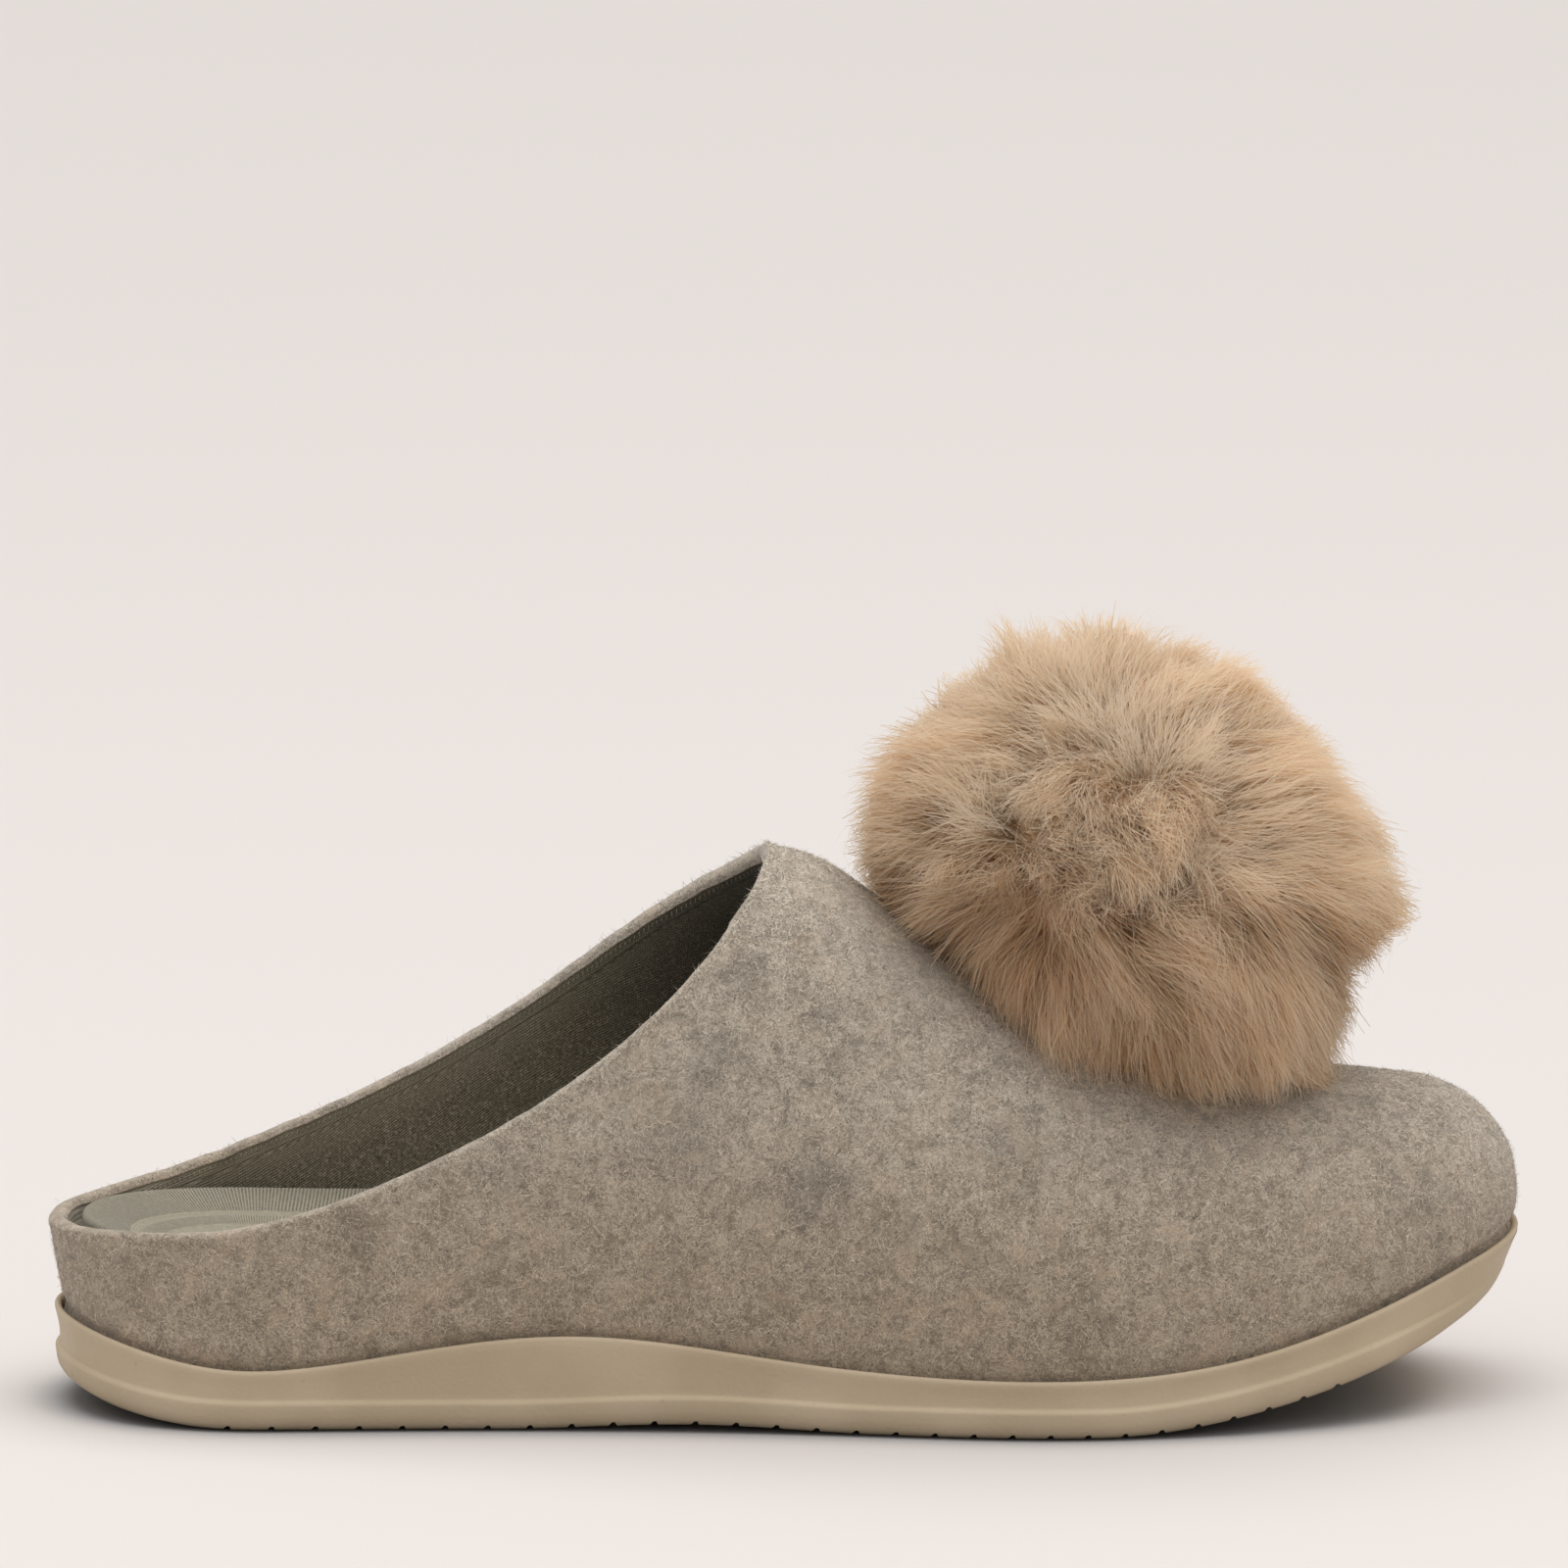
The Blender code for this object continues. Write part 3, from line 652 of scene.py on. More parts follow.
# Cooler and darker patches pressed into the felt: X and Z of the middle, radius, all in millimetres, strength
FELT_PATCHES = (
    (2.6, 42.2, 8.5, 1.00),
    (-73.6, 32.7, 6.5, 0.80),
    (-49.6, 44.4, 5.5, 0.55),
    (-13.2, 63.9, 6.5, 0.60),
    (5.7, 70.5, 5.5, 0.45),
    (-7.6, 77.8, 6.0, 0.70),
    (14.3, 68.3, 5.5, 0.40),
    (-19.6, 47.5, 8.0, 0.55),
    (-20.6, 28.6, 6.0, 0.45),
    (17.1, 35.0, 5.5, 0.55),
    (27.3, 31.9, 6.5, 0.50),
    (37.1, 47.8, 9.0, 0.50),
    (49.7, 21.5, 7.0, 0.60),
    (108.7, 37.0, 9.0, 0.50),
)


def cool_patches(paint, here):
    """How far each place is into one of the felt's patches, whose edges are torn by a noise."""
    torn = paint.node("TexNoise", Vector=here, Scale=1 / 4.5, Detail=4.0, Roughness=0.7).outputs["Color"]
    torn = paint.vector("SCALE", paint.vector("SUBTRACT", torn, i1=(0.5, 0.5, 0.5)), Scale=17.0)
    seen = paint.vector("MULTIPLY", paint.vector("ADD", here, i1=torn), i1=(1.0, 0.0, 1.0))
    cool = 0.0
    for x, z, radius, strength in FELT_PATCHES:
        gap = paint.node("VectorMath", {"operation": "DISTANCE"}, i0=seen, i1=(x, 0.0, z)).outputs["Value"]
        cool = paint.math("MAXIMUM", paint.spread(gap, 1.15 * radius, 0.25 * radius, 0.0, strength), cool)
    return cool


def felt_material():
    """Pressed wool: fine fibres and flecks, clouds of several sizes, and darker and warmer low down."""
    paint = Paint("felt", 0.95, Sheen_Weight=0.35, Sheen_Roughness=0.5, Specular_IOR_Level=0.12)
    here = paint.place()
    fibres = paint.noise(here, 0.60, 4.0, 0.68, 1.8)
    flecks = paint.noise(here, 1.2, 4.0, 0.72, 1.2, 31.0)
    clouds = paint.noise(here, 3.8, 4.0, 0.70, 0.8, 57.0)
    drifts = paint.noise(here, 17.0, 3.0, 0.6, 0.3, 91.0)
    peach = paint.noise(here, 7.5, 4.0, 0.66, 0.5, 133.0)
    base = paint.layers(
        paint.mix(paint.spread(fibres, 0.36, 0.64), srgb(152, 141, 125), srgb(232, 219, 201)),
        (flecks, 0.44, 0.28, 0.80, (100, 91, 77)),
        (flecks, 0.60, 0.74, 0.55, (244, 233, 217)),
        (clouds, 0.50, 0.66, 0.52, (140, 130, 113)),
        (clouds, 0.50, 0.36, 0.30, (240, 229, 211)),
        (drifts, 0.50, 0.68, 0.22, (162, 153, 138)),
        (peach, 0.50, 0.68, 0.38, (230, 207, 182)),
    )
    low = paint.spread(paint.parts(here)[2], 58.0, 22.0, 0.0, 0.46)
    base = paint.mix(low, base, srgb(228, 208, 182), "MULTIPLY")
    cool = paint.math("MULTIPLY", cool_patches(paint, here), 0.46)
    base = paint.mix(cool, base, srgb(110, 105, 95))
    hairs = paint.noise(here, 0.40, 3.0, 0.6, 2.4, 7.0)
    lumps = paint.noise(here, 2.2, 3.0, 0.6, 0.8, 17.0)
    return paint.finish(base, paint.bump(hairs, 0.00045, 1.0, Normal=paint.bump(lumps, 0.00060, 0.8)))


def fibre_material():
    paint = Paint("felt_fibres", 0.9, Sheen_Weight=0.2, Specular_IOR_Level=0.2)
    tint = paint.attribute("tint")
    colour = paint.mix(paint.spread(tint, 0.25, 0.65), srgb(128, 119, 104), srgb(242, 231, 213))
    return paint.finish(colour)


def lining_material():
    """A slanted knit, dark along its seam, paler under the fold as a painted highlight over the seam, paler
    near the rim and at the heel as painted light, and darker to the toe as painted shade deep in the shoe.
    """
    paint = Paint("lining", 0.85, Sheen_Weight=0.25, Sheen_Roughness=0.4, Specular_IOR_Level=0.25)
    cloth, here = paint.cloth(), paint.place()
    around, across = paint.parts(cloth)[:2]
    wobble = paint.noise(cloth, 6.0)
    slant = paint.math("ADD", paint.math("MULTIPLY", around, 0.55), across)
    slant = paint.math("ADD", slant, paint.math("MULTIPLY", wobble, 0.8))
    twill, wales = paint.wave(slant, 0.50), paint.wave(around, 0.44)
    knit = paint.math("ADD", paint.math("MULTIPLY", twill, 0.55), paint.math("MULTIPLY", wales, 0.25))
    flecks, patches = paint.noise(here, 0.48, 3.0, 0.7), paint.noise(here, 9.0)
    below, forward = paint.attribute("below"), paint.parts(here)[0]
    colour = paint.layers(
        paint.mix(paint.spread(knit, -0.9, 0.9), srgb(94, 87, 72), srgb(132, 123, 104)),
        (flecks, 0.50, 0.66, 0.75, (172, 162, 141)),
        (flecks, 0.46, 0.32, 0.75, (54, 50, 40)),
        (patches, 0.45, 0.75, 0.30, (92, 88, 72)),
        # Painted light and shade: a painted highlight under the fold, painted light near the rim and at the
        # heel, and painted shade deepening towards the toe
        (below, 3.2, 2.4, 0.55, (172, 163, 142)),
        (below, 9.0, 2.5, 0.45, (150, 143, 122)),
        (forward, -55.0, 5.0, 0.80, (44, 40, 29)),
        (forward, -100.0, -116.0, 0.75, (206, 196, 176)),
    )
    seam = paint.math("ABSOLUTE", paint.math("SUBTRACT", below, 1.0 + SEAM_DEPTH / MM))
    seam = paint.spread(seam, 0.32, 0.08)
    dark = paint.math("MULTIPLY", seam, paint.spread(forward, -75.0, -20.0, 0.10, 0.45))
    colour = paint.mix(dark, colour, srgb(40, 37, 29))
    normal = paint.bump(flecks, 0.00022, 0.7, Normal=paint.bump(knit, 0.00018, 0.7))
    return paint.finish(colour, paint.bump(paint.math("SUBTRACT", 1.0, seam), 0.00020, 1.0, Normal=normal))


def cover_material():
    """The footbed's cover: ribbed bands along its edge, and a fine knit inside them."""
    paint = Paint("footbed_cover", 0.88, Sheen_Weight=0.25, Sheen_Roughness=0.45, Specular_IOR_Level=0.2)
    around, across = paint.parts(paint.cloth())[:2]
    ribs, rows = paint.wave(around, 0.66), paint.wave(across, 0.55)
    first = paint.spread(across, 9.8, 9.4)
    second = paint.math("MULTIPLY", paint.spread(across, 11.6, 12.0), paint.spread(across, 15.6, 15.0))
    banded = paint.math("MAXIMUM", first, paint.math("MULTIPLY", second, 0.6))
    knit = paint.math("MULTIPLY", ribs, banded)
    plain = paint.math("MULTIPLY", paint.math("MULTIPLY", rows, 0.16), paint.math("SUBTRACT", 1.0, banded))
    height = paint.math("ADD", knit, plain)
    here = paint.place()
    flecks, patches = paint.noise(here, 0.8, 3.0, 0.65), paint.noise(here, 8.0)
    colour = paint.layers(
        paint.mix(paint.spread(height, -0.8, 0.6), srgb(108, 102, 85), srgb(160, 153, 134)),
        (flecks, 0.40, 0.70, 0.35, (172, 165, 146)),
        (patches, 0.45, 0.75, 0.25, (130, 131, 113)),
    )
    return paint.finish(colour, paint.bump(flecks, 0.00016, 0.5, Normal=paint.bump(height, 0.00018, 0.8)))


def sole_material():
    paint = Paint("sole_foam", 0.58, Specular_IOR_Level=0.35, Coat_Weight=0.04, Coat_Roughness=0.5)
    here = paint.place()
    grain, worn = paint.noise(here, 0.85, 3.0, 0.55), paint.noise(here, 22.0)
    specks = paint.noise(here, 2.2, offset=41.0)
    colour = paint.mix(paint.spread(worn, 0.35, 0.7), srgb(184, 167, 140), srgb(194, 177, 151))
    colour = paint.layers(colour, (specks, 0.70, 0.80, 0.25, (140, 122, 98)))
    rough = paint.spread(grain, 0.3, 0.7, 0.50, 0.66)
    return paint.finish(colour, paint.bump(grain, 0.00016, 0.7), rough)


def fur_material():
    """Brown at the root and cream at the tip, lighter and darker from lock to lock, with painted light and
    shade carried in the tint.
    """
    paint = Paint("fur", 0.7, Specular_IOR_Level=0.03)
    along, tint = paint.attribute("along"), paint.attribute("tint")
    colour = paint.layers(
        paint.mix(paint.spread(along, 0.10, 0.62), srgb(202, 170, 132), srgb(245, 229, 203)),
        (along, 0.60, 1.0, 1.0, (255, 244, 226)),
        # The tint holds lock-to-lock tone together with painted light and shade: low tints darken, high ones
        # lighten
        (tint, 0.54, 0.0, 0.80, (200, 164, 122)),
        (tint, 0.55, 0.95, 0.60, (255, 246, 229)),
    )
    paint.finish(colour)
    warm = paint.mix(0.5, colour, srgb(252, 234, 208), "MULTIPLY")
    glow = paint.node("BsdfTranslucent", Color=warm)
    both = paint.node("MixShader", Fac=0.62, i1=paint.shader.outputs[0], i2=glow.outputs[0])
    paint.tree.links.new(both.outputs[0], paint.output.inputs["Surface"])
    return paint.material


def core_material():
    paint = Paint("fur_core", 0.95)
    strands = paint.noise(paint.place(), 1.2, 3.0, 0.6, 1.0)
    return paint.finish(paint.mix(strands, srgb(214, 180, 142), srgb(238, 210, 176)))


def thread_material():
    paint = Paint("thread", 0.55, Sheen_Weight=0.2)
    twist = paint.noise(paint.place(), 0.35)
    return paint.finish(paint.mix(twist, srgb(104, 100, 84), srgb(160, 155, 136)))


def floor_material():
    """A plain backdrop, with a painted contact shadow that darkens it close to the sole."""
    paint = Paint("floor", 0.9, Specular_IOR_Level=0.1)
    drift = paint.noise(paint.place(1.0), 1.5, 1.0)
    # Painted contact shadow: ambient occlusion near the sole darkens the floor's colour towards grey
    painted_shadow = paint.node("AmbientOcclusion", {"samples": 6}, Distance=PAINTED_SHADOW_REACH).outputs["AO"]
    pale = paint.mix(drift, srgb(212, 207, 204), srgb(214, 209, 206))
    return paint.finish(paint.mix(paint.spread(painted_shadow, 0.40, 0.88), srgb(146, 147, 150), pale))


def dress(made, material, slot, *nodes, body="root"):
    made.data.materials.clear()
    made.data.materials.append(material)
    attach(made, body)
    if nodes:
        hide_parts(*nodes)
    return made


# Upper

ROLL = 0.5 * FELT_WALL
ROLL_RISE = 0.0009
FOLD_DEPTH = 0.0005
FOLD_STEP = 0.00020
SEAM_DEPTH = 0.0017
STITCH_PITCH = 0.00105
STITCH_DROP = 0.0008
STITCH_SLANT = 0.0006
STITCH_BOW = 0.00014
STITCH_RADIUS = 0.00011

# The round of the collar's peak: its spread along the rim, how far the felt follows it and how that fades
APEX_SPREAD = 0.0078
APEX_REACH = 0.030
APEX_FADE = 0.007

# Unevenness of the felt: height, size, seed and octaves of each of its ripples
RIPPLES = ((0.00016, 0.016, 3, 2), (0.00022, 0.045, 4, 1))
RIM_PINCH = 0.0007


def rim_columns():
    return list(range(COLLAR_STEPS + 1)) + list(range(COUNT - COLLAR_STEPS + 1, COUNT))


def soften_apex(rows):
    """Rounds the collar's peak, where its two sides meet over the instep, and carries the felt along."""
    stack = np.array(rows)
    rim = stack[-1][rim_columns()]
    steps = np.linalg.norm(np.roll(rim, -1, axis=0) - rim, axis=1)
    run = np.cumsum(steps) - steps
    part = (steps + np.roll(steps, 1)) / 2
    near = np.abs(run - run[COLLAR_STEPS]) < 8 * APEX_SPREAD
    rim, run, part = rim[near], run[near], part[near]
    pull = np.exp(-(((run[:, None] - run[None]) / APEX_SPREAD) ** 2) / 2) * part
    moved = (pull @ rim) / pull.sum(axis=1, keepdims=True) - rim
    edge = np.clip((8 - np.abs(run - run[len(run) // 2]) / APEX_SPREAD) / 3, 0, 1)[:, None]
    flat = stack.reshape(-1, 3)
    close = np.linalg.norm(flat - rim[len(rim) // 2], axis=1) < APEX_REACH
    gap = np.linalg.norm(flat[close][:, None] - rim[None], axis=2)
    share = np.exp(-((gap / APEX_SPREAD) ** 2)) * part + 1e-12
    fade = np.exp(-((gap.min(axis=1, keepdims=True) / APEX_FADE) ** 2))
    flat[close] += (share @ (moved * edge)) / share.sum(axis=1, keepdims=True) * fade
    return list(flat.reshape(stack.shape))


def felt_rows():
    """The felt's outer face in fine rows, a little uneven as pressed wool is."""
    turns = rim_turn(ROLL_RISE)
    rows = [upper_row(turns * row / WALL_ROWS) for row in range(WALL_ROWS + 1)]
    rows = soften_apex(rows)
    normals = row_normals(rows)
    uneven = []
    for k, row in enumerate(rows):
        fade, pinch = min(1.0, k / 3), RIM_PINCH * math.exp(-1.4 * k)
        ripple = sum(height * soft_noise(row, *grain) for height, *grain in RIPPLES)
        uneven.append(row + normals[k] * (ripple * fade - pinch)[:, None])
    return uneven, normals


def rim_loop(rows, normals):
    """The collar's edge as a closed loop, and at each point the ways out of the felt and past its edge."""
    columns = rim_columns()
    edge = rows[-1][columns]
    out = normals[-1][columns].copy()
    for _ in range(3):
        out = unit(out + 0.5 * (np.roll(out, 1, axis=0) + np.roll(out, -1, axis=0)))
    along = unit(np.roll(edge, -1, axis=0) - np.roll(edge, 1, axis=0))
    past = unit(np.cross(out, along))
    out = unit(np.cross(along, past))
    return columns, edge, out, past


def make_felt(rows, normals):
    """The felt's outer face, its rolled rim and the fold inside the collar, in one piece."""
    columns, edge, out, past = rim_loop(rows, normals)
    points = [seat_row(), *rows]
    faces = grid_faces(len(points), COUNT)
    before = [(len(points) - 1) * COUNT + column for column in columns]
    base = len(points) * COUNT
    ripple = 0.00012 * soft_noise(edge, 0.007, 9)
    profile = [(ROLL * (math.cos(a) - 1), ROLL_RISE * math.sin(a)) for a in np.linspace(0, np.pi, 9)[1:]]
    profile += [
        (-2 * ROLL - 0.6 * FOLD_STEP, -0.3 * FOLD_DEPTH),
        (-2 * ROLL - FOLD_STEP, -0.6 * FOLD_DEPTH),
        (-2 * ROLL - 0.9 * FOLD_STEP, -0.9 * FOLD_DEPTH),
        (-2 * ROLL - 0.4 * FOLD_STEP, -1.02 * FOLD_DEPTH),
        (-2 * ROLL + 0.2 * FOLD_STEP, -1.0 * FOLD_DEPTH),
    ]
    for inwards, upwards in profile:
        points.append(edge + out * (inwards + ripple)[:, None] + past * (upwards + 0.6 * ripple)[:, None])
        after = range(base, base + len(columns))
        faces += ring_faces(before, after)
        before, base = after, base + len(columns)
    felt = make_object("upper_felt", np.concatenate(points) + SHIFT, faces)
    merge(felt)
    return felt


def make_lining(rows, normals):
    """The knitted lining, just inside the felt's wall."""
    depth = 2 * ROLL - 0.0001
    inner = [row - normals[k] * depth for k, row in enumerate(rows)]
    inner.insert(0, raised(inset(seat_row()[:, :2], FELT_WALL), deck_edge() + FIT_GAP))
    lining = loft("upper_lining", inner, cloth_places(inner, inner[len(inner) // 3]), flip=True)
    rim = search_tree(inner[-1] + SHIFT)
    store(lining.data, "below", [rim.find(vertex.co)[2] / MM for vertex in lining.data.vertices])
    return lining


def strand_tubes(name, starts, ends, bows, radius):
    """Short thread stitches as one joined mesh: each a tube from start to end that bows out of the cloth."""
    rings, sides = 4, 5
    shares = np.linspace(0, 1, rings)
    points, faces = [], []
    axis = unit(ends - starts)
    side = unit(np.cross(axis, bows))
    lift = unit(np.cross(side, axis))
    for i in range(len(starts)):
        base = len(points)
        for share in shares:
            centre = starts[i] + (ends[i] - starts[i]) * share + bows[i] * (4 * share * (1 - share))
            width = radius * (0.55 if share in (0.0, 1.0) else 1.0)
            for k in range(sides):
                turn = 2 * math.pi * k / sides
                points.append(centre + (side[i] * math.cos(turn) + lift[i] * math.sin(turn)) * width)
        last = base + (rings - 1) * sides
        faces += grid_faces(rings, sides, base)
        faces += [tuple(reversed(range(base, base + sides))), tuple(range(last, last + sides))]
    return make_object(name, points, faces)


def make_stitches(rows, normals):
    """Slanted overlock stitches over the lining's edge, just under the fold."""
    _, edge, out, past = rim_loop(rows, normals)
    closed = np.vstack([edge, edge[:1]])
    steps = np.linalg.norm(np.diff(closed, axis=0), axis=1)
    run = np.concatenate([[0], np.cumsum(steps)])
    places = np.arange(0, run[-1] - 0.0004, STITCH_PITCH)

    def read(values):
        ring = np.vstack([values, values[:1]])
        return np.stack([np.interp(places, run, ring[:, k]) for k in range(3)], axis=1)

    here, outs, pasts = read(edge), unit(read(out)), unit(read(past))
    along = unit(np.cross(pasts, outs))
    depth = outs * (-2 * ROLL - 0.00012)
    starts = here + depth - pasts * (SEAM_DEPTH - STITCH_DROP) + SHIFT
    ends = here + depth - pasts * SEAM_DEPTH + along * STITCH_SLANT + SHIFT
    return strand_tubes("collar_stitches", starts, ends, -outs * STITCH_BOW, STITCH_RADIUS)


# Fibres and fur


def ribbons(name, paths, widths, fronts, tints, alongs, normals):
    """Tapered strips along many paths at once, as one joined mesh.

    paths is strips by points by 3, and each strip's last point is its tip. widths has one for each point but
    the last, fronts is the way that each strip's face looks.
    """
    count, length = paths.shape[:2]
    along = np.gradient(paths, axis=1)
    side = unit(np.cross(unit(along), fronts[:, None, :]))
    half = side[:, :-1] * (widths[:, :, None] / 2)
    left, right = paths[:, :-1] - half, paths[:, :-1] + half
    pairs = np.stack([left, right], axis=2).reshape(count, 2 * (length - 1), 3)
    points = np.concatenate([pairs, paths[:, -1:]], axis=1)
    per = points.shape[1]
    base = np.arange(count)[:, None] * per
    triangles = []
    for k in range(length - 2):
        a = 2 * k
        triangles += [(a, a + 1, a + 3), (a, a + 3, a + 2)]
    a = 2 * (length - 2)
    triangles.append((a, a + 1, a + 2))
    corners = (base[:, None, :] + np.array(triangles)[None]).reshape(-1)
    mesh = bpy.data.meshes.new(name)
    total = len(corners) // 3
    mesh.vertices.add(count * per)
    mesh.vertices.foreach_set("co", points.astype(np.float32).ravel())
    mesh.loops.add(3 * total)
    mesh.loops.foreach_set("vertex_index", corners.astype(np.int32))
    mesh.polygons.add(total)
    mesh.polygons.foreach_set("loop_start", np.arange(0, 3 * total, 3, dtype=np.int32))
    mesh.update(calc_edges=True)
    smooth(mesh)
    store(mesh, "tint", np.repeat(tints, per))
    store(mesh, "along", np.tile(np.concatenate([np.repeat(alongs[:-1], 2), alongs[-1:]]), count))
    mesh.normals_split_custom_set_from_vertices(np.repeat(normals, per, axis=0).tolist())
    return add_object(name, mesh)


def make_fuzz(rows, normals, seed):
    """Loose wool fibres on the felt, thicker along the rim and thinner at the sole."""
    rng = np.random.default_rng(seed)
    stack, count = np.array(rows), FIBRES
    weight = np.linalg.norm(np.gradient(stack, axis=0), axis=2)
    weight *= np.linalg.norm(np.gradient(stack, axis=1), axis=2)
    weight[-2:, WAY_ROUND < 1] *= 3.0
    weight[0] *= 0.2
    weight /= weight.sum()
    picked = rng.choice(weight.size, size=count, p=weight.ravel())
    row, column = np.unravel_index(picked, weight.shape)
    row = np.minimum(row, len(rows) - 2)
    after = (column + 1) % COUNT
    a, b = rng.random((2, count, 1))
    low = stack[row, column] * (1 - a) + stack[row, after] * a
    high = stack[row + 1, column] * (1 - a) + stack[row + 1, after] * a
    start = low * (1 - b) + high * b
    out = unit(normals[row, column])
    way = unit(along_face(rng.normal(size=(count, 3)), out))
    turn = unit(along_face(rng.normal(size=(count, 3)), out))
    length = rng.gamma(4.0, 0.00032, size=(count, 1)).clip(0.0006, 0.0026)
    lift = rng.beta(1.3, 4.5, size=(count, 1))
    first = start - out * 0.00008
    second = start + (way + out * lift) * length / 2
    bent = unit(way + 0.9 * turn) + out * (lift * rng.uniform(-1.0, 0.9, size=(count, 1)))
    paths = np.stack([first, second, second + bent * length / 2], axis=1) + SHIFT
    widths = np.tile([0.000058, 0.000048], (count, 1)) * rng.uniform(0.7, 1.4, size=(count, 1))
    front = unit(out + 0.4 * rng.normal(size=(count, 3)))
    shares = np.array([0.0, 0.6, 1.0])
    return ribbons(f"felt_fibres_{seed}", paths, widths, front, rng.random(count), shares, out)


def camera_axes():
    a, e = CAMERA_TURN, CAMERA_RISE
    right = np.array([math.cos(a), math.sin(a), 0.0])
    ahead = np.array([-math.sin(a) * math.cos(e), math.cos(a) * math.cos(e), -math.sin(e)])
    return right, np.cross(right, ahead), ahead


# How the photograph's view sees the pompom's whorl: across, up and towards the viewer
WHORL = (-0.187, 0.087, 0.978)

# The fur: its reach towards the viewer, the share of it where hairs start, how far they sweep round the ball,
# the numbers of its tufts and of the locks in them, and the share of loose hairs
FUR_RADIUS = 0.0430
FUR_ROOT = 0.74
FUR_SWEEP = 0.56
TUFTS = 420
LOCKS = 3400
LOOSE_SHARE = 0.06

# Hairs end this far off the felt, or are left out where they would lie deeper than this in it. Over the
# height given last there is no felt
FUR_CLEARANCE = 0.0006
FUR_DEEPEST = 0.005
FUR_FREE_HEIGHT = 0.100

# Lighter and darker parts of the fur, as painted light on its left flank and painted shade low on its left:
# millimetres across and up from its middle, radius, change of tint
FUR_PAINTED_LIGHT_AND_SHADE = ((-34, 4, 15.0, 0.30), (-25, -20, 13.0, -0.20))

# Partings in the fur, seen from the camera: millimetres across and up from the pompom's middle, radius, depth
PARTINGS = (
    (-2.4, 13.6, 3.4, 0.06),
    (0.8, 18.5, 3.4, 0.06),
    (4.5, 23.0, 4.0, 0.05),
    (5.0, -17.2, 4.5, 0.05),
    (12.0, -14.5, 4.5, 0.05),
    (19.0, -11.5, 4.8, 0.06),
    (26.0, -8.5, 5.5, 0.05),
    (-19.6, -12.5, 5.0, 0.15),
    (-26.0, -9.0, 4.6, 0.15),
    (-32.0, -7.0, 4.6, 0.14),
    (-13.5, -19.0, 5.0, 0.13),
    (-9.0, -26.0, 5.0, 0.10),
    (12.0, 3.0, 4.0, 0.04),
    (19.0, 6.5, 4.5, 0.05),
)


def seen_ways(ways):
    """Millimetres across and up, and the share towards the viewer, of each direction on the ball of fur."""
    right, up, ahead = camera_axes()
    return FUR_RADIUS / MM * (ways @ right), FUR_RADIUS / MM * (ways @ up), -(ways @ ahead)


def spot(seen, x, y, radius):
    """A soft round spot at millimetres across and up, in what seen_ways gives."""
    return np.exp(-((seen[0] - x) ** 2 + (seen[1] - y) ** 2) / radius**2)


def fur_reach(ways):
    """How far the fur reaches from the pompom's middle in each direction."""
    right, up, ahead = camera_axes()
    bearing = np.degrees(np.arctan2(ways @ up, ways @ right))
    knots = np.array([row[0] for row in FUR_OUTLINE])
    reach = np.interp(bearing, knots, np.array([row[1] for row in FUR_OUTLINE]))
    edge = np.clip(1 - (ways @ ahead) ** 2, 0, 1) ** 0.8
    return FUR_RADIUS * (1 - edge) + reach * edge


def fur_dents(ways):
    """Depth of the partings at each direction, as a share of the reach."""
    seen = seen_ways(ways)
    dents = 0.018 * np.clip(soft_noise(ways, 0.42, 61, 2) - 0.15, 0, 1)
    for x, y, radius, depth in PARTINGS:
        dents = np.maximum(dents, 0.7 * depth * spot(seen, x, y, radius) * (seen[2] > 0))
    return dents


def sphere_ways(count, rng):
    """Directions spread evenly over a ball, with a little disorder."""
    i = np.arange(count) + 0.5
    up = 1 - 2 * i / count
    turn = np.pi * (1 + 5**0.5) * i
    out = np.sqrt(1 - up**2)
    ways = np.stack([out * np.cos(turn), out * np.sin(turn), up], axis=1)
    return unit(ways + rng.normal(size=ways.shape) * 0.6 * (4 * np.pi / count) ** 0.5)


def fur_flow(ways):
    """The way along the ball that the fur lies in at each direction: out from the whorl, with stray tufts."""
    right, up, ahead = camera_axes()
    whorl = WHORL[0] * right + WHORL[1] * up - WHORL[2] * ahead
    radial = -unit(along_face(whorl, ways))
    angle = np.arccos(np.clip(ways @ whorl, -1, 1))
    stray = along_face(np.stack([soft_noise(ways, 0.75, seed, 3) for seed in (5, 6, 7)], axis=1), ways)
    strength = np.clip(angle / 0.85, 0.0, 1) ** 1.8 * np.clip((math.pi - angle) / 1.6, 0.0, 1.0)
    down = along_face(np.array([0.0, 0.0, -0.25]), ways)
    return radial * strength[:, None] + 0.40 * stray + down


def nearest(ways, tufts):
    """Number of the nearest tuft for each direction."""
    tree = search_tree(tufts)
    return np.array([tree.find(way)[1] for way in ways])


def off_the_felt(paths, tree):
    """Hairs that end under the felt's face moved out of it. Those that lie too deep are left out."""
    flat = paths.reshape(-1, 3)
    keep = np.ones(len(paths), dtype=bool)
    per = paths.shape[1]
    for i in np.nonzero(flat[:, 2] < FUR_FREE_HEIGHT)[0]:
        place, normal, _, _ = tree.find_nearest(Vector(flat[i]))
        depth = (Vector(flat[i]) - place).dot(normal)
        if depth < -FUR_DEEPEST:
            keep[i // per] = False
        elif depth < FUR_CLEARANCE:
            flat[i] += np.array(normal) * (FUR_CLEARANCE - depth)
    return flat.reshape(paths.shape), keep


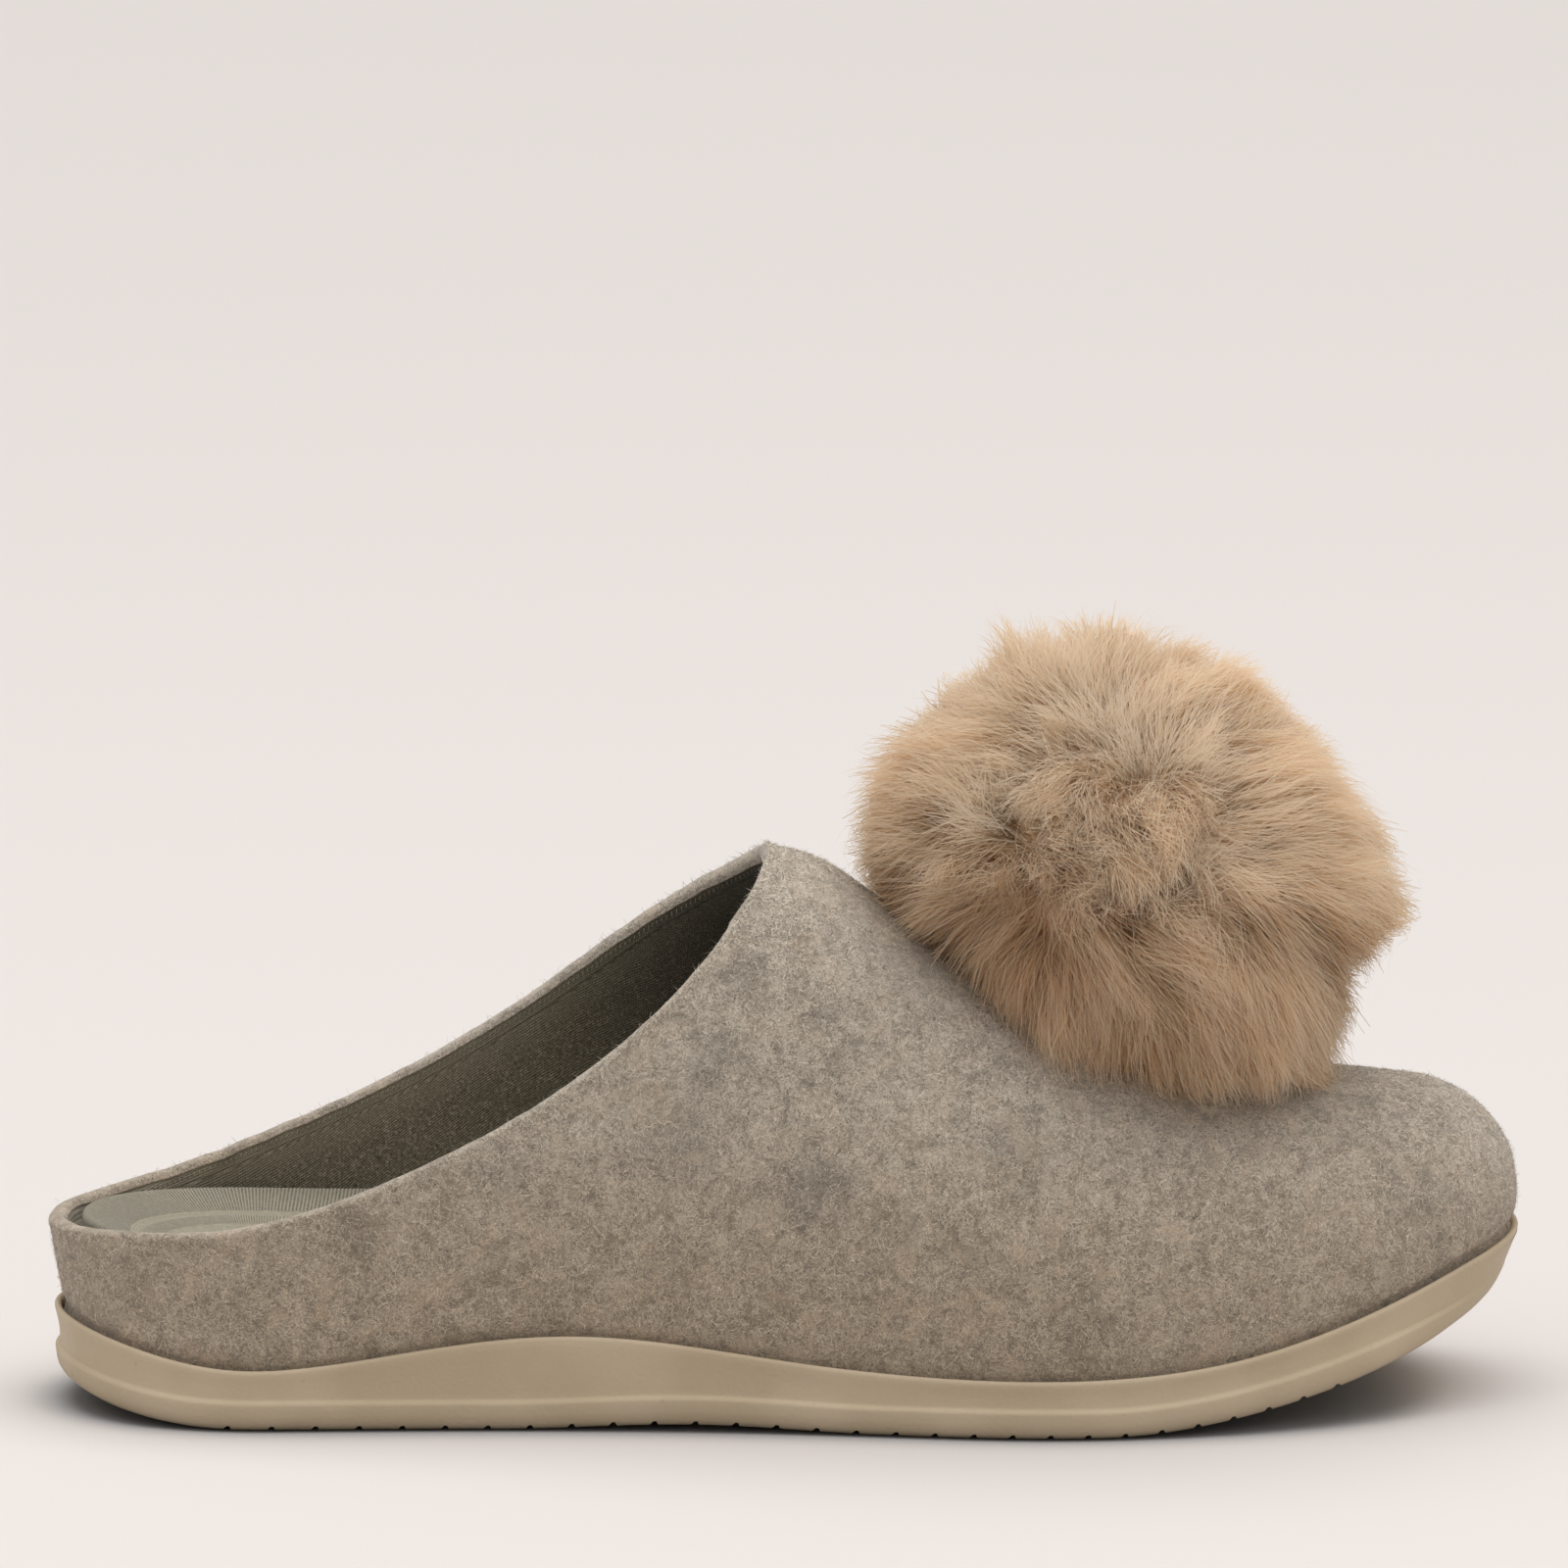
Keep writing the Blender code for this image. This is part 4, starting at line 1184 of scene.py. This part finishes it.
def make_fur(tree):
    """All the hairs of the pompom, as paths with their tints and facings."""
    rng = np.random.default_rng(71)
    roots = sphere_ways(int(HAIRS * 1.16), rng)
    roots = roots[roots[:, 2] > -0.72][:HAIRS]
    total = len(roots)
    tufts, locks = sphere_ways(TUFTS, rng), sphere_ways(LOCKS, rng)
    tuft, lock = nearest(roots, tufts), nearest(roots, locks)
    loose = rng.random(total) < LOOSE_SHARE
    hold_lock = np.where(loose, 0.05, rng.uniform(0.12, 0.45, total))[:, None]
    hold_tuft = np.where(loose, 0.05, rng.uniform(0.00, 0.22, total))[:, None]
    aim = roots * (1 - hold_lock - hold_tuft) + locks[lock] * hold_lock + tufts[tuft] * hold_tuft
    flow = fur_flow(roots) + rng.normal(size=roots.shape) * 0.10
    flow += (rng.normal(size=locks.shape) * 0.09)[lock] + (rng.normal(size=tufts.shape) * 0.11)[tuft]
    curl = rng.normal(size=roots.shape) * 0.016 + (rng.normal(size=locks.shape) * 0.020)[lock]
    length = rng.normal(1.0, 0.030, len(tufts))[tuft] * rng.normal(1.0, 0.022, len(locks))[lock]
    length *= 0.975 * rng.normal(1.0, 0.035, total).clip(0.85, 1.07)
    length = np.where(loose, length * rng.uniform(1.0, 1.04, total), length)
    shares = np.array([0.0, 0.40, 0.74, 1.0])
    points = []
    for share, bend in zip(shares, (0.0, 1.0, -0.4, 0.6)):
        way = unit(roots * (1 - share) + aim * share + flow * (FUR_SWEEP * share**1.5) + curl * bend)
        radius = fur_reach(way) * length * (1 - fur_dents(way))
        radius *= FUR_ROOT + (1 - FUR_ROOT) * math.sin(share * math.pi / 2) ** 0.95
        points.append(POMPOM_CENTRE + way * radius[:, None])
    tip = unit(points[-1] - POMPOM_CENTRE)
    paths, keep = off_the_felt(np.stack(points, axis=1), tree)
    tint = 0.08 + 0.16 * rng.random(len(tufts))[tuft] + 0.30 * rng.random(len(locks))[lock]
    tint += 0.46 * rng.random(total)
    seen = seen_ways(tip)
    # Painted light and shade in the tint: a lighter left flank and a darker patch low on the left on the
    # camera's side, and lighter towards the top and the toe
    painted_light_and_shade = sum(change * spot(seen, x, y, radius) for x, y, radius, change in FUR_PAINTED_LIGHT_AND_SHADE)
    tint += painted_light_and_shade * np.clip(seen[2] * 3, 0, 1) + 0.24 * tip[:, 2] + 0.12 * tip[:, 0]
    # Painted shade: hairs that end in the partings and dents are darkened
    tint = np.clip(tint - 1.2 * fur_dents(tip), 0, 1)
    front = unit(paths[:, 2] - POMPOM_CENTRE)
    widths = np.array([0.00015, 0.00014, 0.00008])[None] * rng.uniform(0.7, 1.25, (total, 1))
    normals = unit(0.8 * front + np.array([0.0, 0.0, 0.5]) + 0.15 * rng.normal(size=front.shape))
    # Strips near the outline whose faces look away from the camera are turned round to it
    ahead = camera_axes()[2]
    face = along_face(front, unit(paths[:, 3] - paths[:, 1]))
    away = (face @ ahead > 0) & (front @ ahead < 0.1)
    front = np.where(away[:, None], -front, front)
    found = SimpleNamespace(paths=paths, widths=widths, front=front, tint=tint, normals=normals)
    for key, values in vars(found).items():
        setattr(found, key, values[keep])
    found.shares = shares
    return found


def make_core():
    """The pompom's dense middle, from which the hairs grow."""
    work = bmesh.new()
    bmesh.ops.create_icosphere(work, subdivisions=5, radius=1.0)
    for vertex in work.verts:
        way = np.array(vertex.co)[None]
        reach = fur_reach(unit(way))[0] * (0.79 + 0.02 * soft_noise(way, 0.35, 21)[0])
        vertex.co = Vector(POMPOM_CENTRE + way[0] * reach)
    mesh = bpy.data.meshes.new("pompom_core")
    work.to_mesh(mesh)
    work.free()
    smooth(mesh)
    return add_object("pompom_core", mesh)


# Sole and footbed


# The ridge over the band: share of the step inwards, height in units of its softness
RIDGE = ((0.0, -2.4), (0.0, -1.1), (0.05, -0.55), (0.22, -0.05), (0.62, 0.40), (0.90, 0.80), (1.0, 1.4))
RIDGE_SOFTNESS = 0.00050

# Soft dents between the bands of the footbed's cover: distance from its edge, depth
BAND_DENTS = ((0.0082, 0.00028), (0.0140, 0.00020))
DENT_WIDTH = 0.0009


def deck_ring(side, spine, share, gap=0.0):
    """A ring over the sole's deck, at a share of the way from its side to the middle line."""
    ring = side + (spine - side) * share
    floor = deck_middle(ring[:, 0])
    return raised(ring, floor + (deck_edge() - floor) * (1 - share) ** 2 + gap)


def sole_rings():
    """Rings of the sole, from the middle of its underside over its side and lip to the middle of its deck."""
    wall, top, ground = side_inset(), lip(), side_foot()
    below = spine_ring(0.030, 0.042)
    rings = [raised(below, bottom(below[:, 0]))]
    edge = sole_ring(EDGE_RADIUS, ground)
    for share in (0.5, 0.75, 0.9):
        ring = below + (edge[:, :2] - below) * share
        rings.append(raised(ring, bottom(ring[:, 0])))
    for turn in np.linspace(0, np.pi / 2, 6):
        out, up = EDGE_RADIUS * (1 - math.sin(turn)), EDGE_RADIUS * (1 - math.cos(turn))
        ring = sole_ring(out, ground + up)
        if turn == 0:
            ring[:, 2] = bottom(ring[:, 0])
        rings.append(ring)
    band = ground + BAND_HEIGHT
    ends = np.clip((1 - SHARES) / 0.07, 0, 1) ** 0.7
    step = BAND_STEP * (0.2 + 1.4 * ends)
    swell = 0.0002 * np.clip((SHARES - 0.94) / 0.06, 0, 1)
    for out, up in RIDGE:
        rings.append(sole_ring(step * out, band + RIDGE_SOFTNESS * up))
    for share in (0.12, 0.3, 0.5, 0.7, 0.85):
        height = band + 0.0008 + (top - 0.7 * LIP_WIDTH - band - 0.0008) * share
        hollow = 0.00022 * math.sin(math.pi * share) * ends - swell * share
        rings.append(sole_ring(step + (wall - step) * share + hollow, height))
    worn = np.clip((SHARES - 0.955) / 0.045, 0, 1)
    for turn in np.linspace(0, np.pi, 8):
        out = 0.5 * LIP_WIDTH * (1 - math.cos(turn)) - swell * (1 + math.cos(turn)) / 2
        drop = worn * (0.0004 + 0.0011 * (1 - math.sin(min(turn, np.pi / 2))))
        rings.append(sole_ring(wall + out, top - drop - 0.6 * LIP_WIDTH * (1 - math.sin(turn))))
    rings.append(raised(inset(plan_ring(), wall + LIP_WIDTH), top - LIP_DEPTH))
    inside = rings[-1][:, :2]
    return rings + [deck_ring(inside, below, share) for share in (0.25, 0.5, 0.75, 1.0)]


def tread_bars():
    """Wedge-shaped bars in the places of the grooves, as one object."""
    work = bmesh.new()
    for x in groove_places():
        step = 0.5 * GROOVE_WIDTH
        tilt = math.atan2(float(bottom(x + step) - bottom(x - step)), 2 * step)
        turn = Matrix.Rotation(-tilt, 4, "Y")
        place = Matrix.Translation(Vector((x, 0, float(bottom(x)))) + Vector(SHIFT.tolist())) @ turn
        made = bmesh.ops.create_cube(work, size=1.0)["verts"]
        bmesh.ops.scale(work, vec=(GROOVE_WIDTH, 1.5 * BALL_WIDTH, 2.0 * GROOVE_DEPTH), verts=made)
        for vertex in made:
            if vertex.co.z > 0:
                vertex.co.x = 0.35 * vertex.co.x + 0.25 * GROOVE_WIDTH
            else:
                vertex.co.x *= 1.7
        bmesh.ops.transform(work, matrix=place, verts=made)
    bars = bpy.data.meshes.new("tread_bars")
    work.to_mesh(bars)
    work.free()
    return add_object("tread_bars", bars)


def make_sole():
    sole, cutter = loft("sole_foam", sole_rings()), tread_bars()
    cut = sole.modifiers.new("Tread", "BOOLEAN")
    cut.operation, cut.object, cut.solver = "DIFFERENCE", cutter, "MANIFOLD"
    bpy.context.view_layer.update()
    carved = bpy.data.meshes.new_from_object(sole.evaluated_get(bpy.context.evaluated_depsgraph_get()))
    sole.modifiers.clear()
    sole.data = carved
    bpy.data.objects.remove(cutter)
    smooth(carved)
    carved.set_sharp_from_angle(angle=math.radians(38))
    return sole


def make_footbed():
    """The padded footbed, with a rolled edge and soft steps between the bands of its cover."""
    side = inset(seat_row()[:, :2], FELT_WALL + FOOTBED_GAP)
    spine = spine_ring(0.034, 0.042)
    roll = 0.36 * FOOTBED_ROLL
    middle_height = spline(FOOTBED_LINE, 1, SHARES)
    edge_height = middle_height + both_sides(FOOTBED_LINE, SHARES, 2) + 0.0008
    spine_height = spline(FOOTBED_LINE, 1, spine[:, 0] / SOLE_LENGTH)
    rings = [deck_ring(side, spine, share, FIT_GAP) for share in (1.0, 0.5)]
    rings.append(raised(side, deck_edge() + 2 * FIT_GAP))
    low = len(rings)
    for share in (0.5, 1.0):
        rings.append(raised(side, deck_edge() + (edge_height - roll - deck_edge()) * share))
    for turn in np.linspace(0, np.pi / 2, 7)[1:]:
        out, up = roll * (1 - math.cos(turn)), roll * math.sin(turn)
        rings.append(raised(inset(side, out), edge_height - roll + up))
    rolled = inset(side, roll)
    reach = np.linalg.norm(spine - rolled, axis=1)
    hollow = edge_height - spine_height
    for into in np.arange(0.0010, 0.0151, 0.0010):
        share = np.clip(into / reach, 0, 0.9)
        dent = sum(depth * math.exp(-(((into - place) / DENT_WIDTH) ** 2)) for place, depth in BAND_DENTS)
        rings.append(raised(inset(rolled, into), spine_height + hollow * (1 - share) ** 2 - dent))
    inner, start = rings[-1][:, :2], np.clip(0.015 / reach, 0, 0.9)
    for share in (0.12, 0.24, 0.37, 0.5, 0.64, 0.78, 0.9, 1.0):
        ring = inner + (spine - inner) * share
        height = spine_height + hollow * ((1 - start) * (1 - share)) ** 2
        rings.append(raised(ring, height))
    return loft("footbed_cover", rings, cloth_places(rings, raised(side, 0.0), low + 1))


# Scene


def make_stage():
    corners = [(x * FLOOR_REACH, y * FLOOR_REACH, 0) for x, y in ((-1, -1), (1, -1), (1, 1), (-1, 1))]
    floor = make_object("floor", corners, [(0, 1, 2, 3)])
    floor.data.materials.append(floor_material())
    scene = bpy.context.scene
    scene.world = bpy.data.worlds.new("studio")
    scene.world.use_nodes = True
    sky = scene.world.node_tree.nodes["Background"]
    sky.inputs[0].default_value = (*srgb(250, 246, 243), 1.0)
    sky.inputs[1].default_value = SKY_POWER
    data = bpy.data.lights.new("ceiling", "SUN")
    data.energy, data.angle = CEILING_POWER, CEILING_BREADTH
    add_object("ceiling", data).rotation_euler = Vector(CEILING_WAY).to_track_quat("Z", "Y").to_euler()
    for name, place, power in LAMPS:
        data = bpy.data.lights.new(name, "AREA")
        data.shape, data.size, data.energy = "SQUARE", LAMP_SIZE, power
        lamp = add_object(name, data)
        lamp.location = place
        lamp.rotation_euler = (Vector((0, 0, 0.04)) - Vector(place)).to_track_quat("-Z", "Y").to_euler()
    scene.view_settings.view_transform = "Standard"


def make_camera():
    """The photograph's camera. It looks at the middle of the picture, a little over the shoe's foot."""
    right, up, ahead = camera_axes()
    data = bpy.data.cameras.new("camera")
    data.lens, data.sensor_width = CAMERA_LENS, 36.0
    data.clip_start, data.clip_end = 0.05, 60.0
    camera = add_object("camera", data)
    stand = -ahead * CAMERA_DISTANCE
    target = TARGET_ACROSS * right + TARGET_UP * up
    camera.location = stand
    camera.rotation_euler = Vector(target - stand).to_track_quat("-Z", "Y").to_euler()
    bpy.context.scene.camera = camera


def main():
    make_stage()
    make_camera()
    rows, normals = felt_rows()
    felt = dress(make_felt(rows, normals), felt_material(), "felt", "upper")
    dress(make_lining(rows, normals), lining_material(), "felt")
    dress(make_stitches(rows, normals), thread_material(), "felt")
    fibres = fibre_material()
    for seed in (1, 2):
        dress(make_fuzz(rows, normals, seed), fibres, "felt")
    dress(make_sole(), sole_material(), "sole_foam", "sole")
    footbed = dress(make_footbed(), cover_material(), "footbed_cover", "footbed")
    points = [vertex.co for vertex in felt.data.vertices]
    tree = BVHTree.FromPolygons(points, [face.vertices[:] for face in felt.data.polygons])
    dress(make_core(), core_material(), "fur", "pompom")
    fur, fur_paint = make_fur(tree), fur_material()
    for k in range(3):
        paths, widths, front, tint, normals = (
            values[k::3] for values in (fur.paths, fur.widths, fur.front, fur.tint, fur.normals)
        )
        made = ribbons(f"pompom_fur_{k + 1}", paths, widths, front, tint, fur.shares, normals)
        dress(made, fur_paint, "fur", "pompom")


main()
